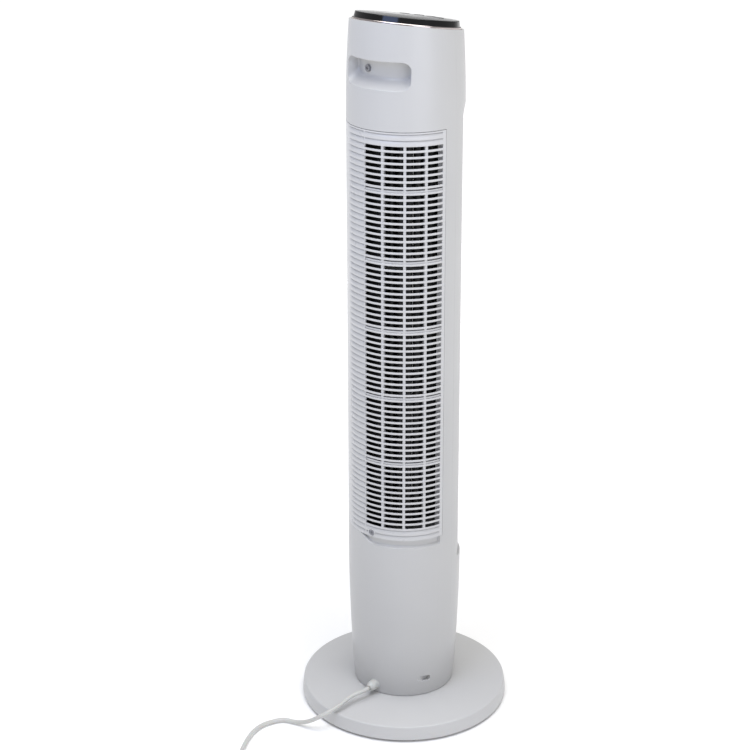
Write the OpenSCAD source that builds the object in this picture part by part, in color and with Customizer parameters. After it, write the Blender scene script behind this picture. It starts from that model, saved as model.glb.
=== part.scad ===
// Tower fan, free standing, seen from its rear as it stands: front is -Y, rear is +Y, floor is z = 0.
// A round column with a cross-flow impeller turns on a weighted round base.

/* [Base] */
// diameter of the base at the foot of its rim
base_d = 240; // [232:1:280]
// height of the base's flat top above the floor
base_h = 23; // [22:0.5:26]
// height of the rubber feet
foot_h = 3; // [2:0.5:4]
// wall of the base cover
base_wall = 2.5; // [2:0.1:4]

/* [Column] */
// widest diameter of the column
column_d = 128; // [126:0.2:150]
// diameter of the column where it meets the base
foot_d = 116; // [114:0.2:126]
// diameter of the column at its highest point
neck_d = 118; // [116:0.2:126]
// height of the column's upper edge on its axis
column_top = 793; // [788:1:900]
// slope of the upper edge, high at the rear
top_tilt = 10; // [0:0.5:12]
// wall of the two shells
wall = 2.2; // [1.8:0.1:3]
// half of the angle that the rear shell spans
seam_half = 92; // [91:0.5:93]

/* [Rear grille] */
// lower edge of the rear grille
grille_low = 226.5; // [224:0.5:228]
// upper edge of the rear grille
grille_high = 693; // [691:0.5:695]
// half of the angle that the rear grille spans
grille_half = 77; // [76:0.5:79]
// height of the stepped band under the grille
lip_h = 9.5; // [6:0.5:10]
// distance from one slot to the next
slot_pitch = 6.45; // [6:0.05:7.8]
// height of each slot
slot_gap = 3.5; // [2.5:0.1:4.5]
// thickness of the grille
grille_t = 2.4; // [2:0.1:3]

/* [Front grille] */
// half of the angle that the outlet spans
outlet_half = 74; // [72:1:75]
// distance from one outlet slat to the next
vane_pitch = 10; // [8:0.5:14]
// height of each outlet slot
vane_gap = 7; // [5:0.5:9]

/* [Impeller] */
// outside diameter of the impeller
impeller_d = 76; // [66:1:80]
// number of blades
blades = 24; // [18:1:32]
// number of spans between its discs
spans = 6; // [4:1:8]

/* [Handle] */
// width of the handle recess
handle_w = 79; // [66:1:84]
// height of the handle recess
handle_h = 28.5; // [22:0.5:30]
// height of the recess's lower lip
handle_z = 736; // [732:0.5:738]
// depth radius of the recess's back wall
handle_r = 49; // [46:0.5:52]

/* [Control panel] */
// height of the black cap above the column's edge
cap_h = 9; // [7:0.1:10]
// diameter of the push buttons
button_d = 11; // [9:0.5:13]
// how far a button travels
button_travel = 0.8; // [0.5:0.1:1]

/* [Swing] */
// radius of the pivot post
post_r = 11; // [10:0.2:12.5]
// teeth on the fixed gear
gear_teeth = 48; // [40:4:52]
// teeth on the pinion
pinion_teeth = 12; // [12:1:14]

/* [Fits] */
// running clearance on the radius of a bearing
run_gap = 0.05; // [0.02:0.01:0.1]
// clearance between two fixed parts
fit_gap = 0.1; // [0.05:0.01:0.2]
// clearance round a moulded panel
panel_gap = 0.3; // [0.2:0.05:0.6]

/* [Hidden] */
$fn = 96;
white = [0.86, 0.87, 0.9];
grey_white = [0.78, 0.78, 0.79];
black = [0.04, 0.04, 0.05];
chrome = [0.8, 0.8, 0.82];
steel = [0.62, 0.63, 0.65];
dark = [0.13, 0.13, 0.14];
bronze = [0.66, 0.47, 0.26];
copper = [0.72, 0.38, 0.2];
green = [0.08, 0.32, 0.18];
pom = [0.93, 0.92, 0.88];

foot_z = base_h + 0.6;
belly_z = 190;
shoulder_z = 700;
mid_taper = 0.8;
top_z = column_top + neck_d / 2 * tan(top_tilt) + 0.4;
low_steps = 9;
top_steps = 14;
levels = concat(
    [for (i = [0 : low_steps]) foot_z + (belly_z - foot_z) * i / low_steps],
    [for (i = [0 : top_steps]) shoulder_z + (top_z + 4 - shoulder_z) * i / top_steps]);

// outside radius of the column at height z
function low_r(z) = column_d / 2
    - (column_d - foot_d) / 2 * pow((belly_z - z) / (belly_z - foot_z), 2);
function mid_r(z) = column_d / 2 - mid_taper * (z - belly_z) / (shoulder_z - belly_z);
function top_r(z) = column_d / 2 - mid_taper
    - (column_d / 2 - mid_taper - neck_d / 2) * pow((z - shoulder_z) / (top_z - shoulder_z), 2);
function col_r(z) = z < belly_z ? low_r(z) : z < shoulder_z ? mid_r(z) : top_r(z);
function steps(z0, z1) = concat([z0], [for (h = levels) if (h > z0 + 0.01 && h < z1 - 0.01) h], [z1]);
function back(v) = [for (i = [len(v) - 1 : -1 : 0]) v[i]];

// the ring of the cap sits in the middle of the sloping mouth
rear_reach = col_r(column_top + neck_d / 2 * tan(top_tilt)) / cos(top_tilt);
front_reach = col_r(column_top - neck_d / 2 * tan(top_tilt)) / cos(top_tilt);
mouth_shift = (front_reach - rear_reach) / 2;
ring_r = col_r(column_top) - wall - panel_gap;
ring_w = 1.2;
cap_r = ring_r - ring_w - fit_gap;
cap_top_r = cap_r - 2;
cap_wall = 2;
dome_h = 1;
under = cap_h - dome_h - cap_wall;
skirt = 6;
board_z = -7;
board_t = 1.6;
switch_h = 4.2;
board_r = 45;
board_post_r = 41;
button_ring = 34;
button_angles = [-39, -13, 13, 39];
window_w = 46;
window_d = 20;
window_y = 8;

// heights inside the column
floor_z = foot_z + 2.4;
floor_t = 3;
floor_r = col_r(floor_z) - wall - fit_gap;
boss_r = post_r + 4;
boss_top = floor_z + 19.5;
post_top = boss_top + 0.5;
washer_t = 1.5;
gear_m = 1;
gear_add = 0.75;
gear_ded = 1.1;
gear_z = post_top + washer_t + 3.5;
gear_t = 5;
gear_c = (gear_teeth + pinion_teeth) / 2 * gear_m;
gear_hole_ring = 17.5;
pivot_ring = 17;
bolt_ring = 37.5;
lug_x = 17.5;
swing_back = gear_c + 8;
thrust_in = 38;
thrust_out = 46;
flange_r = 24;
flange_t = 2.5;
shell_boss_r = 3.2;
lip_from = -10;
lip_to = 74;
foot_screw_z = grille_low + 5.2;
handle_screw_a = -16.5;
handle_screw_z = handle_z + 17;
tray_z = 198;
tray_t = 3;
impeller_z = 236;
impeller_top = grille_high - 3.5;
disc_t = 2.4;
bracket_z = grille_high + 9.5;
bracket_t = 3;
impeller_r = impeller_d / 2;
shaft_r = 3;
motor_low = tray_z - 64;
motor_high = tray_z - 2;
core_low = motor_low + 17;
core_high = core_low + 28;
core_r = 41;
core_bore = 23.3;
gland_z = 33.8;
gland_out = 12.5;
oval_a = 58;
oval_z = 45;
upper_boss = [[50, 56.2], [-50, 56.2], [98, 56.2], [-98, 56.2]];
disc_half = 101.5;
slot_first = grille_low + 17.1;
slot_rows = floor((grille_high - 17 - slot_first) / slot_pitch + 0.01) + 1;
slot_from = -7.6;
slot_to = 73;
bar_angles = [12.2, 34.3, 55.4];
bar_half = 1.35;
groove_from = -29;
groove_to = -9.4;
rib_every = 12;
vane_low = 188;
vane_high = 692;
vane_from = 133;
vane_step = 19.2;
vane_rows = floor((vane_high - vane_low - 12) / vane_pitch);

// ---- helpers ----
// turn the profile from angle a to angle b, both from the rear towards the left side
module sector(a, b) {
    rotate([0, 0, 90 + a]) rotate_extrude(angle = b - a) children();
}

// the wall's section between two heights, from inset in to inset + t
module wall_2d(inset, t, z0, z1) {
    zs = steps(z0, z1);
    polygon(concat([for (z = zs) [col_r(z) - inset, z]],
        [for (z = back(zs)) [col_r(z) - inset - t, z]]));
}

module inside_2d(inset, z0, z1) {
    zs = steps(z0, z1);
    polygon(concat([for (z = zs) [col_r(z) - inset, z]], [[0, z1], [0, z0]]));
}

// outwards at angle a, height z, distance r from the axis
module radial(a, z, r) {
    rotate([0, 0, a]) translate([0, r, z]) rotate([-90, 0, 0]) children();
}

module at(a, r, z) {
    rotate([0, 0, a]) translate([0, r, z]) children();
}

// the frame of the control panel, its z square to the sloping mouth
module at_top() {
    translate([0, 0, column_top]) rotate([top_tilt, 0, 0]) translate([0, -mouth_shift, 0]) children();
}

// disc that fills the shell at the rear and stays inside the front grille
module cut_disc(z, h, r_rear, r_front) {
    translate([0, 0, z]) cylinder(h = h, r = r_front);
    sector(-disc_half, disc_half) translate([r_front - 8, z]) square([r_rear - r_front + 8, h]);
}

module at_feet() {
    for (k = [0 : 4]) at(feet_at + 72 * k, feet_ring, 0) children();
}

module at_base_screws() {
    for (k = [0 : 4]) at(feet_at + 36 + 72 * k, screw_ring, 0) children();
}

module at_pivot_screws() {
    for (k = [0 : 3]) at(45 + 90 * k, pivot_ring, 0) children();
}

module at_motor_bolts() {
    for (k = [0 : 3]) at(45 + 90 * k, bolt_ring, 0) children();
}

module at_board_posts() {
    for (k = [0 : 2]) at(60 + 120 * k, board_post_r, 0) children();
}

module at_swing_lugs() {
    for (x = [-1, 1]) translate([x * lug_x, -swing_back, 0]) children();
}

module top_cut() {
    translate([0, 0, column_top]) rotate([top_tilt, 0, 0])
        translate([-column_d, -column_d, 0]) cube([column_d * 2, column_d * 2, 80]);
}

module round_rect(w, h, r) {
    square([w - 2 * r, h], center = true);
    square([w, h - 2 * r], center = true);
    for (x = [-1, 1], y = [-1, 1]) translate([x * (w / 2 - r), y * (h / 2 - r)]) circle(r);
}

module block(w, d, h, r) {
    linear_extrude(h) round_rect(w, d, r);
}

module tube(r, hole, h) {
    difference() {
        cylinder(h = h, r = r);
        translate([0, 0, -1]) cylinder(h = h + 2, r = hole);
    }
}

// pan head screw, head above z = 0 and shank below
module screw(d, len, head_d, head_h) {
    difference() {
        union() {
            cylinder(h = head_h, d = head_d);
            translate([0, 0, -len]) cylinder(h = len + 0.1, d = d);
        }
        translate([-head_d * 0.3, -0.5, head_h * 0.45]) cube([head_d * 0.6, 1, head_h]);
        translate([-0.5, -head_d * 0.3, head_h * 0.45]) cube([1, head_d * 0.6, head_h]);
    }
}

// screw boss inside a shell: a post with a rib to the wall
module wall_boss(a, r, z0, z1) {
    at(a, r, z0) cylinder(h = z1 - z0, r = shell_boss_r);
    intersection() {
        at(a, r, z0) translate([-1, 0, 0]) cube([2, 20, z1 - z0]);
        rotate([0, 0, a]) rotate([0, 0, 45]) rotate_extrude(angle = 90) inside_2d(wall / 2, z0, z1);
    }
}

module boss_bore(a, r, z0, z1, d) {
    at(a, r, z0 - 1) cylinder(h = z1 - z0 + 2, d = d + 2 * fit_gap);
}

// bosses of one shell, and the bores in them
module bosses(front) {
    for (b = floor_boss) if ((abs(b[0]) > 90) == front)
        wall_boss(b[0], b[1], floor_z + floor_t, floor_z + floor_t + 13);
    for (b = tray_boss) if ((abs(b[0]) > 90) == front) wall_boss(b[0], b[1], tray_z - 14, tray_z);
    for (b = upper_boss) if ((abs(b[0]) > 90) == front)
        wall_boss(b[0], b[1], bracket_z - 4.8, bracket_z);
}

module boss_bores() {
    for (b = floor_boss) boss_bore(b[0], b[1], floor_z + floor_t, floor_z + floor_t + 10, 3);
    for (b = tray_boss) boss_bore(b[0], b[1], tray_z - 11, tray_z, 3);
    for (b = upper_boss) boss_bore(b[0], b[1], bracket_z - 3.8, bracket_z, 3);
}

// tube of round section along a path, its ends square to the path
function unit(v) = v / norm(v);
function heading(p, i) = unit(p[min(i + 1, len(p) - 1)] - p[max(i - 1, 0)]);
function ring_of(p, i, r, n, up) =
    let (t = heading(p, i), s = unit(cross(t, up)), u = cross(s, t))
    [for (k = [0 : n - 1]) p[i] + r * (cos(360 * k / n) * s + sin(360 * k / n) * u)];
module lead(p, r, n, up) {
    m = len(p);
    pts = [for (i = [0 : m - 1]) each ring_of(p, i, r, n, up)];
    sides = [for (i = [0 : m - 2], k = [0 : n - 1]) each [
        [i * n + k, i * n + (k + 1) % n, (i + 1) * n + (k + 1) % n],
        [i * n + k, (i + 1) * n + (k + 1) % n, (i + 1) * n + k]]];
    ends = [[for (k = [n - 1 : -1 : 0]) k], [for (k = [0 : n - 1]) (m - 1) * n + k]];
    polyhedron(pts, concat(sides, ends), convexity = 10);
}
// smooth curve through hand-set points
function spline(a, b, c, d, t) = 0.5 * (2 * b + (c - a) * t + (2 * a - 5 * b + 4 * c - d) * t * t
    + (3 * b - a - 3 * c + d) * t * t * t);
function curve(p, n) = concat([for (i = [0 : len(p) - 2], k = [0 : n - 1])
    spline(p[max(i - 1, 0)], p[i], p[i + 1], p[min(i + 2, len(p) - 1)], k / n)], [p[len(p) - 1]]);

// involute gear outline with thinned teeth
gear_play = 0.1;
function inv(a) = tan(a) * 180 / PI - a;
function half_tooth(n, r, rb, rp) = 90 / n + inv(20) - inv(acos(min(1, rb / max(r, rb))))
    - gear_play / rp * 180 / PI;
module gear_2d(n) {
    rp = n * gear_m / 2;
    rb = rp * cos(20);
    lo = rp - gear_ded;
    hi = rp + gear_add;
    rs = [lo, max(lo, rb) + 0.02, rp - 0.2, rp + 0.3, hi];
    polygon([for (k = [0 : n - 1]) each concat(
        [for (r = rs) let (a = k * 360 / n - half_tooth(n, r, rb, rp)) [r * cos(a), r * sin(a)]],
        [for (r = back(rs)) let (a = k * 360 / n + half_tooth(n, r, rb, rp)) [r * cos(a), r * sin(a)]])]);
}

// ---- base ----
rim_low = foot_h;
rim_top_r = base_d / 2 - 2.2;
land_r = col_r(foot_z) + 2;
screw_ring = base_d / 2 - 20;
feet_ring = base_d / 2 - 8.5;
plate_z = rim_low + 0.5;
plate_t = 2;
plate_top = plate_z + plate_t;
ballast_t = 4;
rim_h = base_h - 3.8;
feet_at = 41;

module base_cover() {
    color(grey_white) difference() {
        union() {
            difference() {
                rotate_extrude($fn = 180) polygon([[0, rim_low], [base_d / 2, rim_low],
                    [base_d / 2 - 0.6, rim_low + 7], [rim_top_r + 1, rim_h - 1.4],
                    [rim_top_r + 0.5, rim_h - 0.5], [rim_top_r - 0.6, rim_h],
                    [land_r, base_h], [0, base_h]]);
                rotate_extrude($fn = 180) polygon([[0, -1], [base_d / 2 - base_wall, -1],
                    [base_d / 2 - base_wall, rim_low + 7], [rim_top_r - 2, rim_h - base_wall - 0.4],
                    [land_r, base_h - base_wall], [0, base_h - base_wall]]);
            }
            translate([0, 0, base_h - flange_t - base_wall])
                cylinder(h = base_wall + 0.5, r = flange_r + 3);
            at_base_screws() translate([0, 0, plate_top]) cylinder(h = base_h - 4 - plate_top, r = 4);
            at_pivot_screws() translate([0, 0, plate_top + ballast_t + 0.2])
                cylinder(h = base_h - 4.2 - plate_top - ballast_t, r = 4);
        }
        translate([0, 0, base_h - flange_t]) cylinder(h = 10, r = flange_r + fit_gap);
        at_base_screws() cylinder(h = base_h - 8, d = 3.2);
        at_pivot_screws() cylinder(h = 40, d = 4.2);
    }
}

module base_bottom() {
    color(dark) difference() {
        translate([0, 0, plate_z])
            cylinder(h = plate_t, r = base_d / 2 - base_wall - panel_gap, $fn = 180);
        at_base_screws() cylinder(h = 20, d = 3.2);
        at_feet() cylinder(h = 20, d = 4.2);
    }
}

module ballast_plate() {
    color(steel) translate([0, 0, plate_top]) difference() {
        cylinder(h = ballast_t, r = 88, $fn = 180);
        translate([0, 0, -1]) cylinder(h = ballast_t + 2, r = 8);
        at_pivot_screws() translate([0, 0, -1]) cylinder(h = ballast_t + 2, d = 4.4);
    }
}

module rubber_feet() {
    color(dark) at_feet() {
        cylinder(h = plate_z, r1 = 4.6, r2 = 5.4);
        cylinder(h = plate_top + 1, r = 2);
        translate([0, 0, plate_top]) cylinder(h = 1.5, r = 2.8);
    }
}

module base_screws() {
    color(steel) at_base_screws() translate([0, 0, plate_z]) rotate([180, 0, 0]) screw(3, 10, 6.5, 1.8);
}

// ---- pivot ----
module pivot_post() {
    color(steel) difference() {
        union() {
            translate([0, 0, base_h - flange_t]) cylinder(h = flange_t, r = flange_r);
            translate([0, 0, base_h - flange_t]) cylinder(h = post_top - base_h + flange_t, r = post_r);
        }
        translate([-4.6, -4.6, post_top - 5]) cube([9.2, 9.2, 10]);
        translate([0, 0, base_h + 2]) cylinder(h = 40, d = 5.1);
        at_pivot_screws() cylinder(h = 60, d = 4.2);
    }
}

module pivot_screws() {
    color(steel) at_pivot_screws() translate([0, 0, base_h]) screw(4, base_h - plate_top - 1, 7.5, 1.8);
}

module thrust_ring() {
    color(pom) translate([0, 0, base_h]) difference() {
        cylinder(h = floor_z - base_h - run_gap, r = thrust_out);
        translate([0, 0, -1]) cylinder(h = 10, r = thrust_in);
    }
}

module retaining_washer() {
    color(steel) translate([0, 0, post_top]) tube(boss_r, 6.7, washer_t);
}

module retaining_bolt() {
    color(steel) translate([0, 0, gear_z + gear_t]) screw(5, gear_z + gear_t - base_h - 8, 9, 3.2);
}

module swing_gear() {
    color(pom) difference() {
        union() {
            translate([0, 0, gear_z]) rotate([0, 0, -90]) linear_extrude(gear_t) gear_2d(gear_teeth);
            translate([0, 0, post_top + washer_t]) cylinder(h = gear_z - post_top - washer_t, r = boss_r);
            translate([-4.5, -4.5, post_top - 4.5]) cube([9, 9, 8]);
        }
        translate([0, 0, base_h]) cylinder(h = 80, d = 5.2);
        for (k = [0 : 5]) rotate([0, 0, 60 * k]) translate([gear_hole_ring, 0, gear_z - 1])
            cylinder(h = gear_t + 2, r = 3.2);
    }
}

// ---- cord ----
cord_r = 2.5;
// route from the gland over the base to the coil, then from the coil to the plug
route = [[0, 71.6, 33.8], [0.25, 76, 33.7], [2.3, 81.4, 33.2], [5.6, 86.8, 32.1], [8.3, 93.6, 30.8],
    [10.2, 103, 29], [11.6, 113, 27], [15, 124, 24.6], [23.5, 133.5, 18.5], [37, 138, 9.5], [52, 139.5, 3.6],
    [67.7, 143.6, 3], [75.5, 152.5, 3], [81, 166, 3], [81.4, 181, 3], [77.5, 196.5, 3],
    [71.5, 211.5, 3], [64, 226.5, 3], [55.5, 241, 3], [46, 254.5, 3], [39, 263.7, 3]];
tail = [[-28, 266.7, 9.5], [-38, 259.5, 8.2], [-49, 255.5, 7.8], [-61.5, 254, 8]];
coil_at = [5, 252];
coil_in = 20.5;
coil_out = 36.5;
coil_h = 15;
plug_at = [-61.5, 254, 8];

module power_cord() {
    color(white) {
        lead(curve(route, 3), cord_r, 8, [0, 0, 1]);
        lead(curve(tail, 2), cord_r, 8, [0, 0, 1]);
    }
}

module cord_coil() {
    color(white) translate([coil_at[0], coil_at[1], 0]) rotate_extrude()
        translate([(coil_in + coil_out) / 2, 0.2 + coil_h / 2]) round_rect(coil_out - coil_in, coil_h, 6);
}

module cord_tie() {
    color(dark) translate([coil_at[0], coil_at[1] + (coil_in + coil_out) / 2, 0.2 + coil_h / 2])
        rotate([0, 90, 0]) translate([0, 0, -2]) difference() {
            linear_extrude(4) round_rect(coil_h + 0.3, coil_out - coil_in + 2.4, 6.5);
            translate([0, 0, -1]) linear_extrude(6) round_rect(coil_h + 0.2, coil_out - coil_in + 0.2, 6);
        }
}

// flat two-pin plug lying on the floor
module plug_body() {
    color(white) translate(plug_at) rotate([0, 0, -90]) rotate([90, 0, 0]) {
        difference() {
            union() {
                translate([0, 0, 10]) linear_extrude(24) round_rect(34, 13.6, 6);
                translate([0, 0, 4]) linear_extrude(7) round_rect(20, 11, 5);
                cylinder(h = 5, r1 = 3.6, r2 = 5);
            }
            for (x = [-9.5, 9.5]) translate([x, 0, 22]) cylinder(h = 20, d = 4.05);
        }
    }
}

module plug_pins() {
    color(steel) translate(plug_at) rotate([0, 0, -90]) rotate([90, 0, 0])
        for (x = [-9.5, 9.5]) translate([x, 0, 22]) {
            cylinder(h = 30, d = 4);
            translate([0, 0, 30]) cylinder(h = 1, r1 = 2, r2 = 1.2);
        }
}

// ---- column ----
floor_boss = [[60, 50], [-60, 50], [130, 50], [-130, 50]];
tray_boss = [[60, 57.2], [-60, 57.2], [98, 57.2], [-98, 57.2]];

module column_floor() {
    color(grey_white) difference() {
        union() {
            translate([0, 0, floor_z]) cylinder(h = floor_t, r = floor_r);
            translate([0, 0, floor_z]) cylinder(h = boss_top - floor_z, r = boss_r);
            for (k = [0 : 3]) rotate([0, 0, 90 * k + 45]) translate([boss_r - 1, -1, floor_z])
                cube([9, 2, 9]);
            at_swing_lugs() translate([0, 0, floor_z]) cylinder(h = gear_z - floor_z - 5, r = 3.2);
        }
        cylinder(h = 200, r = post_r + run_gap);
        for (b = floor_boss) at(b[0], b[1], 0) cylinder(h = 60, d = 3.2);
        at_swing_lugs() translate([0, 0, floor_z + 5]) cylinder(h = 40, d = 3.2);
        radial(0, gland_z, 44) cylinder(h = 30, r = 6);
    }
}

module floor_screws() {
    color(steel) for (b = floor_boss) at(b[0], b[1], floor_z)
        rotate([180, 0, 0]) screw(3, 12, 6, 1.8);
}

module pocket_2d(grow) {
    polygon([[handle_r - grow, handle_z + 6.5 - grow], [handle_r - grow, handle_z + handle_h + 1.5 + grow],
        [handle_r + 2 - grow, handle_z + handle_h + 3 + grow],
        [handle_r + 8 + grow, handle_z + handle_h + 3 + grow],
        [handle_r + 12 + grow, handle_z + handle_h + grow], [handle_r + 40, handle_z + handle_h + grow],
        [handle_r + 40, handle_z - 10.8 - grow], [handle_r + 2, handle_z + 5.6 - grow]]);
}

module pocket(grow) {
    intersection() {
        rotate_extrude() pocket_2d(grow);
        translate([0, handle_r - 35 - grow, handle_z + handle_h / 2]) rotate([-90, 0, 0])
            linear_extrude(80) round_rect(handle_w + 2 * grow, handle_h + 8, 12);
    }
}

module pocket_mouth() {
    translate([0, handle_r - 35, handle_z + handle_h / 2]) rotate([-90, 0, 0])
        linear_extrude(80) round_rect(handle_w, handle_h, 8);
}

module rear_shell() {
    color(white) difference() {
        union() {
            difference() {
                sector(-seam_half + 0.05, seam_half - 0.05) wall_2d(0, wall, foot_z, top_z + 3);
                sector(-grille_half, grille_half)
                    translate([30, grille_low]) square([60, grille_high - grille_low]);
            }
            intersection() {
                pocket(1.8);
                sector(-80, 80) inside_2d(wall / 2, handle_z - 12, handle_z + handle_h + 10);
            }
            bosses(false);
            sector(-5, 5) grille_tab();
            sector(oval_a - 9, oval_a + 9) wall_2d(wall / 2, 5, oval_z - 6, oval_z + 6);
        }
        top_cut();
        intersection() {
            pocket(0);
            pocket_mouth();
        }
        sector(lip_from, lip_to) translate([col_r(grille_low) - wall - 0.05, grille_low - lip_h])
            square([30, lip_h + 1]);
        radial(0, gland_z, 44) cylinder(h = 30, r = 4.6);
        radial(oval_a, oval_z, 59) rotate([0, 24, 0]) translate([1, 0, -2])
            linear_extrude(20) round_rect(15, 6.5, 3.2);
        boss_bores();
        radial(0, foot_screw_z, 40) cylinder(h = 40, d = 3.2);
        radial(handle_screw_a, handle_screw_z, 40) cylinder(h = 20, d = 4.4);
    }
}

// tab behind the grille's foot that takes its screw
module grille_tab() {
    r = col_r(grille_low);
    low = grille_low - lip_h;
    polygon([[r - 9, low - 13], [r - wall / 2, low - 13], [r - wall / 2, low - 7], [r - 4.5, low - 5],
        [r - 4.5, grille_low + 12], [r - 9, grille_low + 12]]);
}

module front_shell() {
    color(white) difference() {
        union() {
            difference() {
                sector(seam_half + 0.05, 360 - seam_half - 0.05) wall_2d(0, wall, foot_z, top_z + 3);
                sector(180 - outlet_half, 180 + outlet_half)
                    translate([30, vane_low - 2]) square([60, vane_high - vane_low + 3]);
            }
            sector(180 - outlet_half - 3, 180 + outlet_half + 3)
                wall_2d(wall / 2, 4, vane_high + 1, vane_high + 22);
            bosses(true);
        }
        top_cut();
        sector(180 - outlet_half, 180 + outlet_half) polygon([[col_r(vane_high) - 2.3, vane_high],
            [90, vane_high], [90, vane_high + 20], [col_r(vane_high + 20), vane_high + 20]]);
        boss_bores();
    }
}

function row_z(i) = slot_first + i * slot_pitch;
module row_cut(i, deep, high) {
    translate([col_r(row_z(i)) - deep, row_z(i) - high / 2]) square([20, high]);
}

slot_edges = concat([slot_from], [for (a = bar_angles) each [a - bar_half, a + bar_half]], [slot_to]);

module rear_grille() {
    low = grille_low - lip_h - 4;
    color(white) union() {
        difference() {
            union() {
                sector(-grille_half + 0.28, grille_half - 0.28)
                    wall_2d(0, grille_t, grille_low + 0.15, grille_high - panel_gap);
                difference() {
                    sector(-grille_half - 2.5, grille_half + 2.5)
                        wall_2d(wall + fit_gap, 1.8, low, grille_high + 4);
                    sector(-grille_half + 3.5, grille_half - 3.5)
                        translate([30, grille_low + 5]) square([60, grille_high - grille_low - 10]);
                }
            }
            for (k = [0 : 3]) sector(slot_edges[2 * k], slot_edges[2 * k + 1])
                for (i = [0 : slot_rows - 1]) row_cut(i, 9, slot_gap);
            sector(groove_from, groove_to) for (i = [-1 : slot_rows]) row_cut(i, 0.5, slot_pitch * 0.4);
            sector(slot_from, slot_to) for (i = [-2, -1, slot_rows, slot_rows + 1])
                row_cut(i, 1.1, slot_gap * 0.8);
            radial(0, foot_screw_z, 40) cylinder(h = 40, d = 3.6);
            radial(0, foot_screw_z, col_r(grille_low) - 1.5) cylinder(h = 40, d = 8);
        }
        for (i = [0 : rib_every : slot_rows - 1]) sector(slot_from - 1.5, slot_to + 1.5)
            translate([col_r(row_z(i)) - 8.5, row_z(i) - slot_gap / 2 - 0.4])
                square([7.6, slot_gap * 0.62 + 0.4]);
    }
}

module grille_screw() {
    color(steel) radial(0, foot_screw_z, col_r(grille_low) - 1.5) screw(3, 8.5, 6.4, 1.3);
}

module handle_screw() {
    color(steel) radial(handle_screw_a, handle_screw_z, handle_r + 0.05) screw(4, 14, 7.5, 2);
}

module front_grille() {
    color(white) difference() {
        sector(180 - outlet_half - 3, 180 + outlet_half + 3)
            wall_2d(wall + 0.2, 2.4, vane_low - 6, vane_high + 0.8);
        for (k = [0 : 4]) sector(vane_from + vane_step * k, vane_from + vane_step * k + vane_step - 2)
            for (i = [0 : vane_rows - 1]) translate([40, vane_low + 9 + i * vane_pitch - vane_gap / 2])
                square([40, vane_gap]);
    }
}

// ---- control panel ----
module trim_ring() {
    color(chrome) at_top() rotate_extrude() polygon([[ring_r - ring_w, -3], [ring_r, -3],
        [ring_r, 0.6], [ring_r - 0.4, 1.2], [ring_r - ring_w, 1.2]]);
}

function dome(r) = cap_h - dome_h * pow(r / cap_top_r, 2);
module top_panel() {
    color(black) at_top() difference() {
        union() {
            rotate_extrude() polygon(concat(
                [[cap_r, -skirt], [cap_r, 0], [cap_top_r + 0.6, cap_h - dome_h - 0.9]],
                [for (k = [10 : -1 : 0]) [cap_top_r * k / 10, dome(cap_top_r * k / 10)]],
                [[0, under], [cap_top_r - cap_wall, under],
                [cap_r - cap_wall, 0], [cap_r - cap_wall, -skirt]]));
            at_board_posts() translate([0, 0, board_z + board_t])
                cylinder(h = cap_h - cap_wall - board_z - board_t, r = 3.4);
        }
        for (a = button_angles) at(180 + a, button_ring, -2) cylinder(h = 30, d = button_d + 2 * panel_gap);
        translate([0, window_y, cap_h - 1.6]) linear_extrude(20)
            round_rect(window_w + 2 * fit_gap, window_d + 2 * fit_gap, 3);
        translate([0, window_y, cap_h - 6]) linear_extrude(20) round_rect(window_w - 6, window_d - 6, 2);
        at_board_posts() translate([0, 0, board_z]) cylinder(h = 9, d = 2.6);
    }
}

module display_window() {
    color(dark) at_top() intersection() {
        translate([0, window_y, cap_h - 1.6]) linear_extrude(4) round_rect(window_w, window_d, 2.9);
        rotate_extrude() polygon(concat([for (k = [10 : -1 : 0]) [40 * k / 10, dome(40 * k / 10)]],
            [[0, 0], [40, 0]]));
    }
}

module control_board() {
    color(green) at_top() translate([0, 0, board_z]) difference() {
        cylinder(h = board_t, r = board_r);
        at_board_posts() translate([0, 0, -1]) cylinder(h = 9, d = 2.6);
    }
}

module board_screws() {
    color(steel) at_top() at_board_posts() translate([0, 0, board_z])
        rotate([180, 0, 0]) screw(2.4, 8, 5, 1.5);
}

module display_module() {
    color(dark) at_top() translate([0, window_y, board_z + board_t])
        block(window_w - 8, window_d - 8, under + 1 - board_z - board_t, 1);
}

module tact_switches() {
    color(dark) at_top() for (a = button_angles) at(180 + a, button_ring, board_z + board_t) {
        translate([-3, -3, 0]) cube([6, 6, switch_h - 0.8]);
        cylinder(h = switch_h, d = 3.2);
    }
}

// a push button: cap, collar under the panel and a stem down to its switch
module button_at(a) {
    stem_z = board_z + board_t + switch_h + button_travel + fit_gap;
    at_top() at(180 + a, button_ring, 0) {
        translate([0, 0, under - 0.3]) cylinder(h = cap_h + 0.5 - under + 0.3, d = button_d);
        translate([0, 0, under - 1.3]) cylinder(h = 1.2, d = button_d + 2.4);
        translate([0, 0, stem_z]) cylinder(h = under - 1 - stem_z, d = 3.6);
    }
}
module power_button() { color(dark) button_at(button_angles[0]); }
module speed_button() { color(dark) button_at(button_angles[1]); }
module timer_button() { color(dark) button_at(button_angles[2]); }
module swing_button() { color(dark) button_at(button_angles[3]); }

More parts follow.
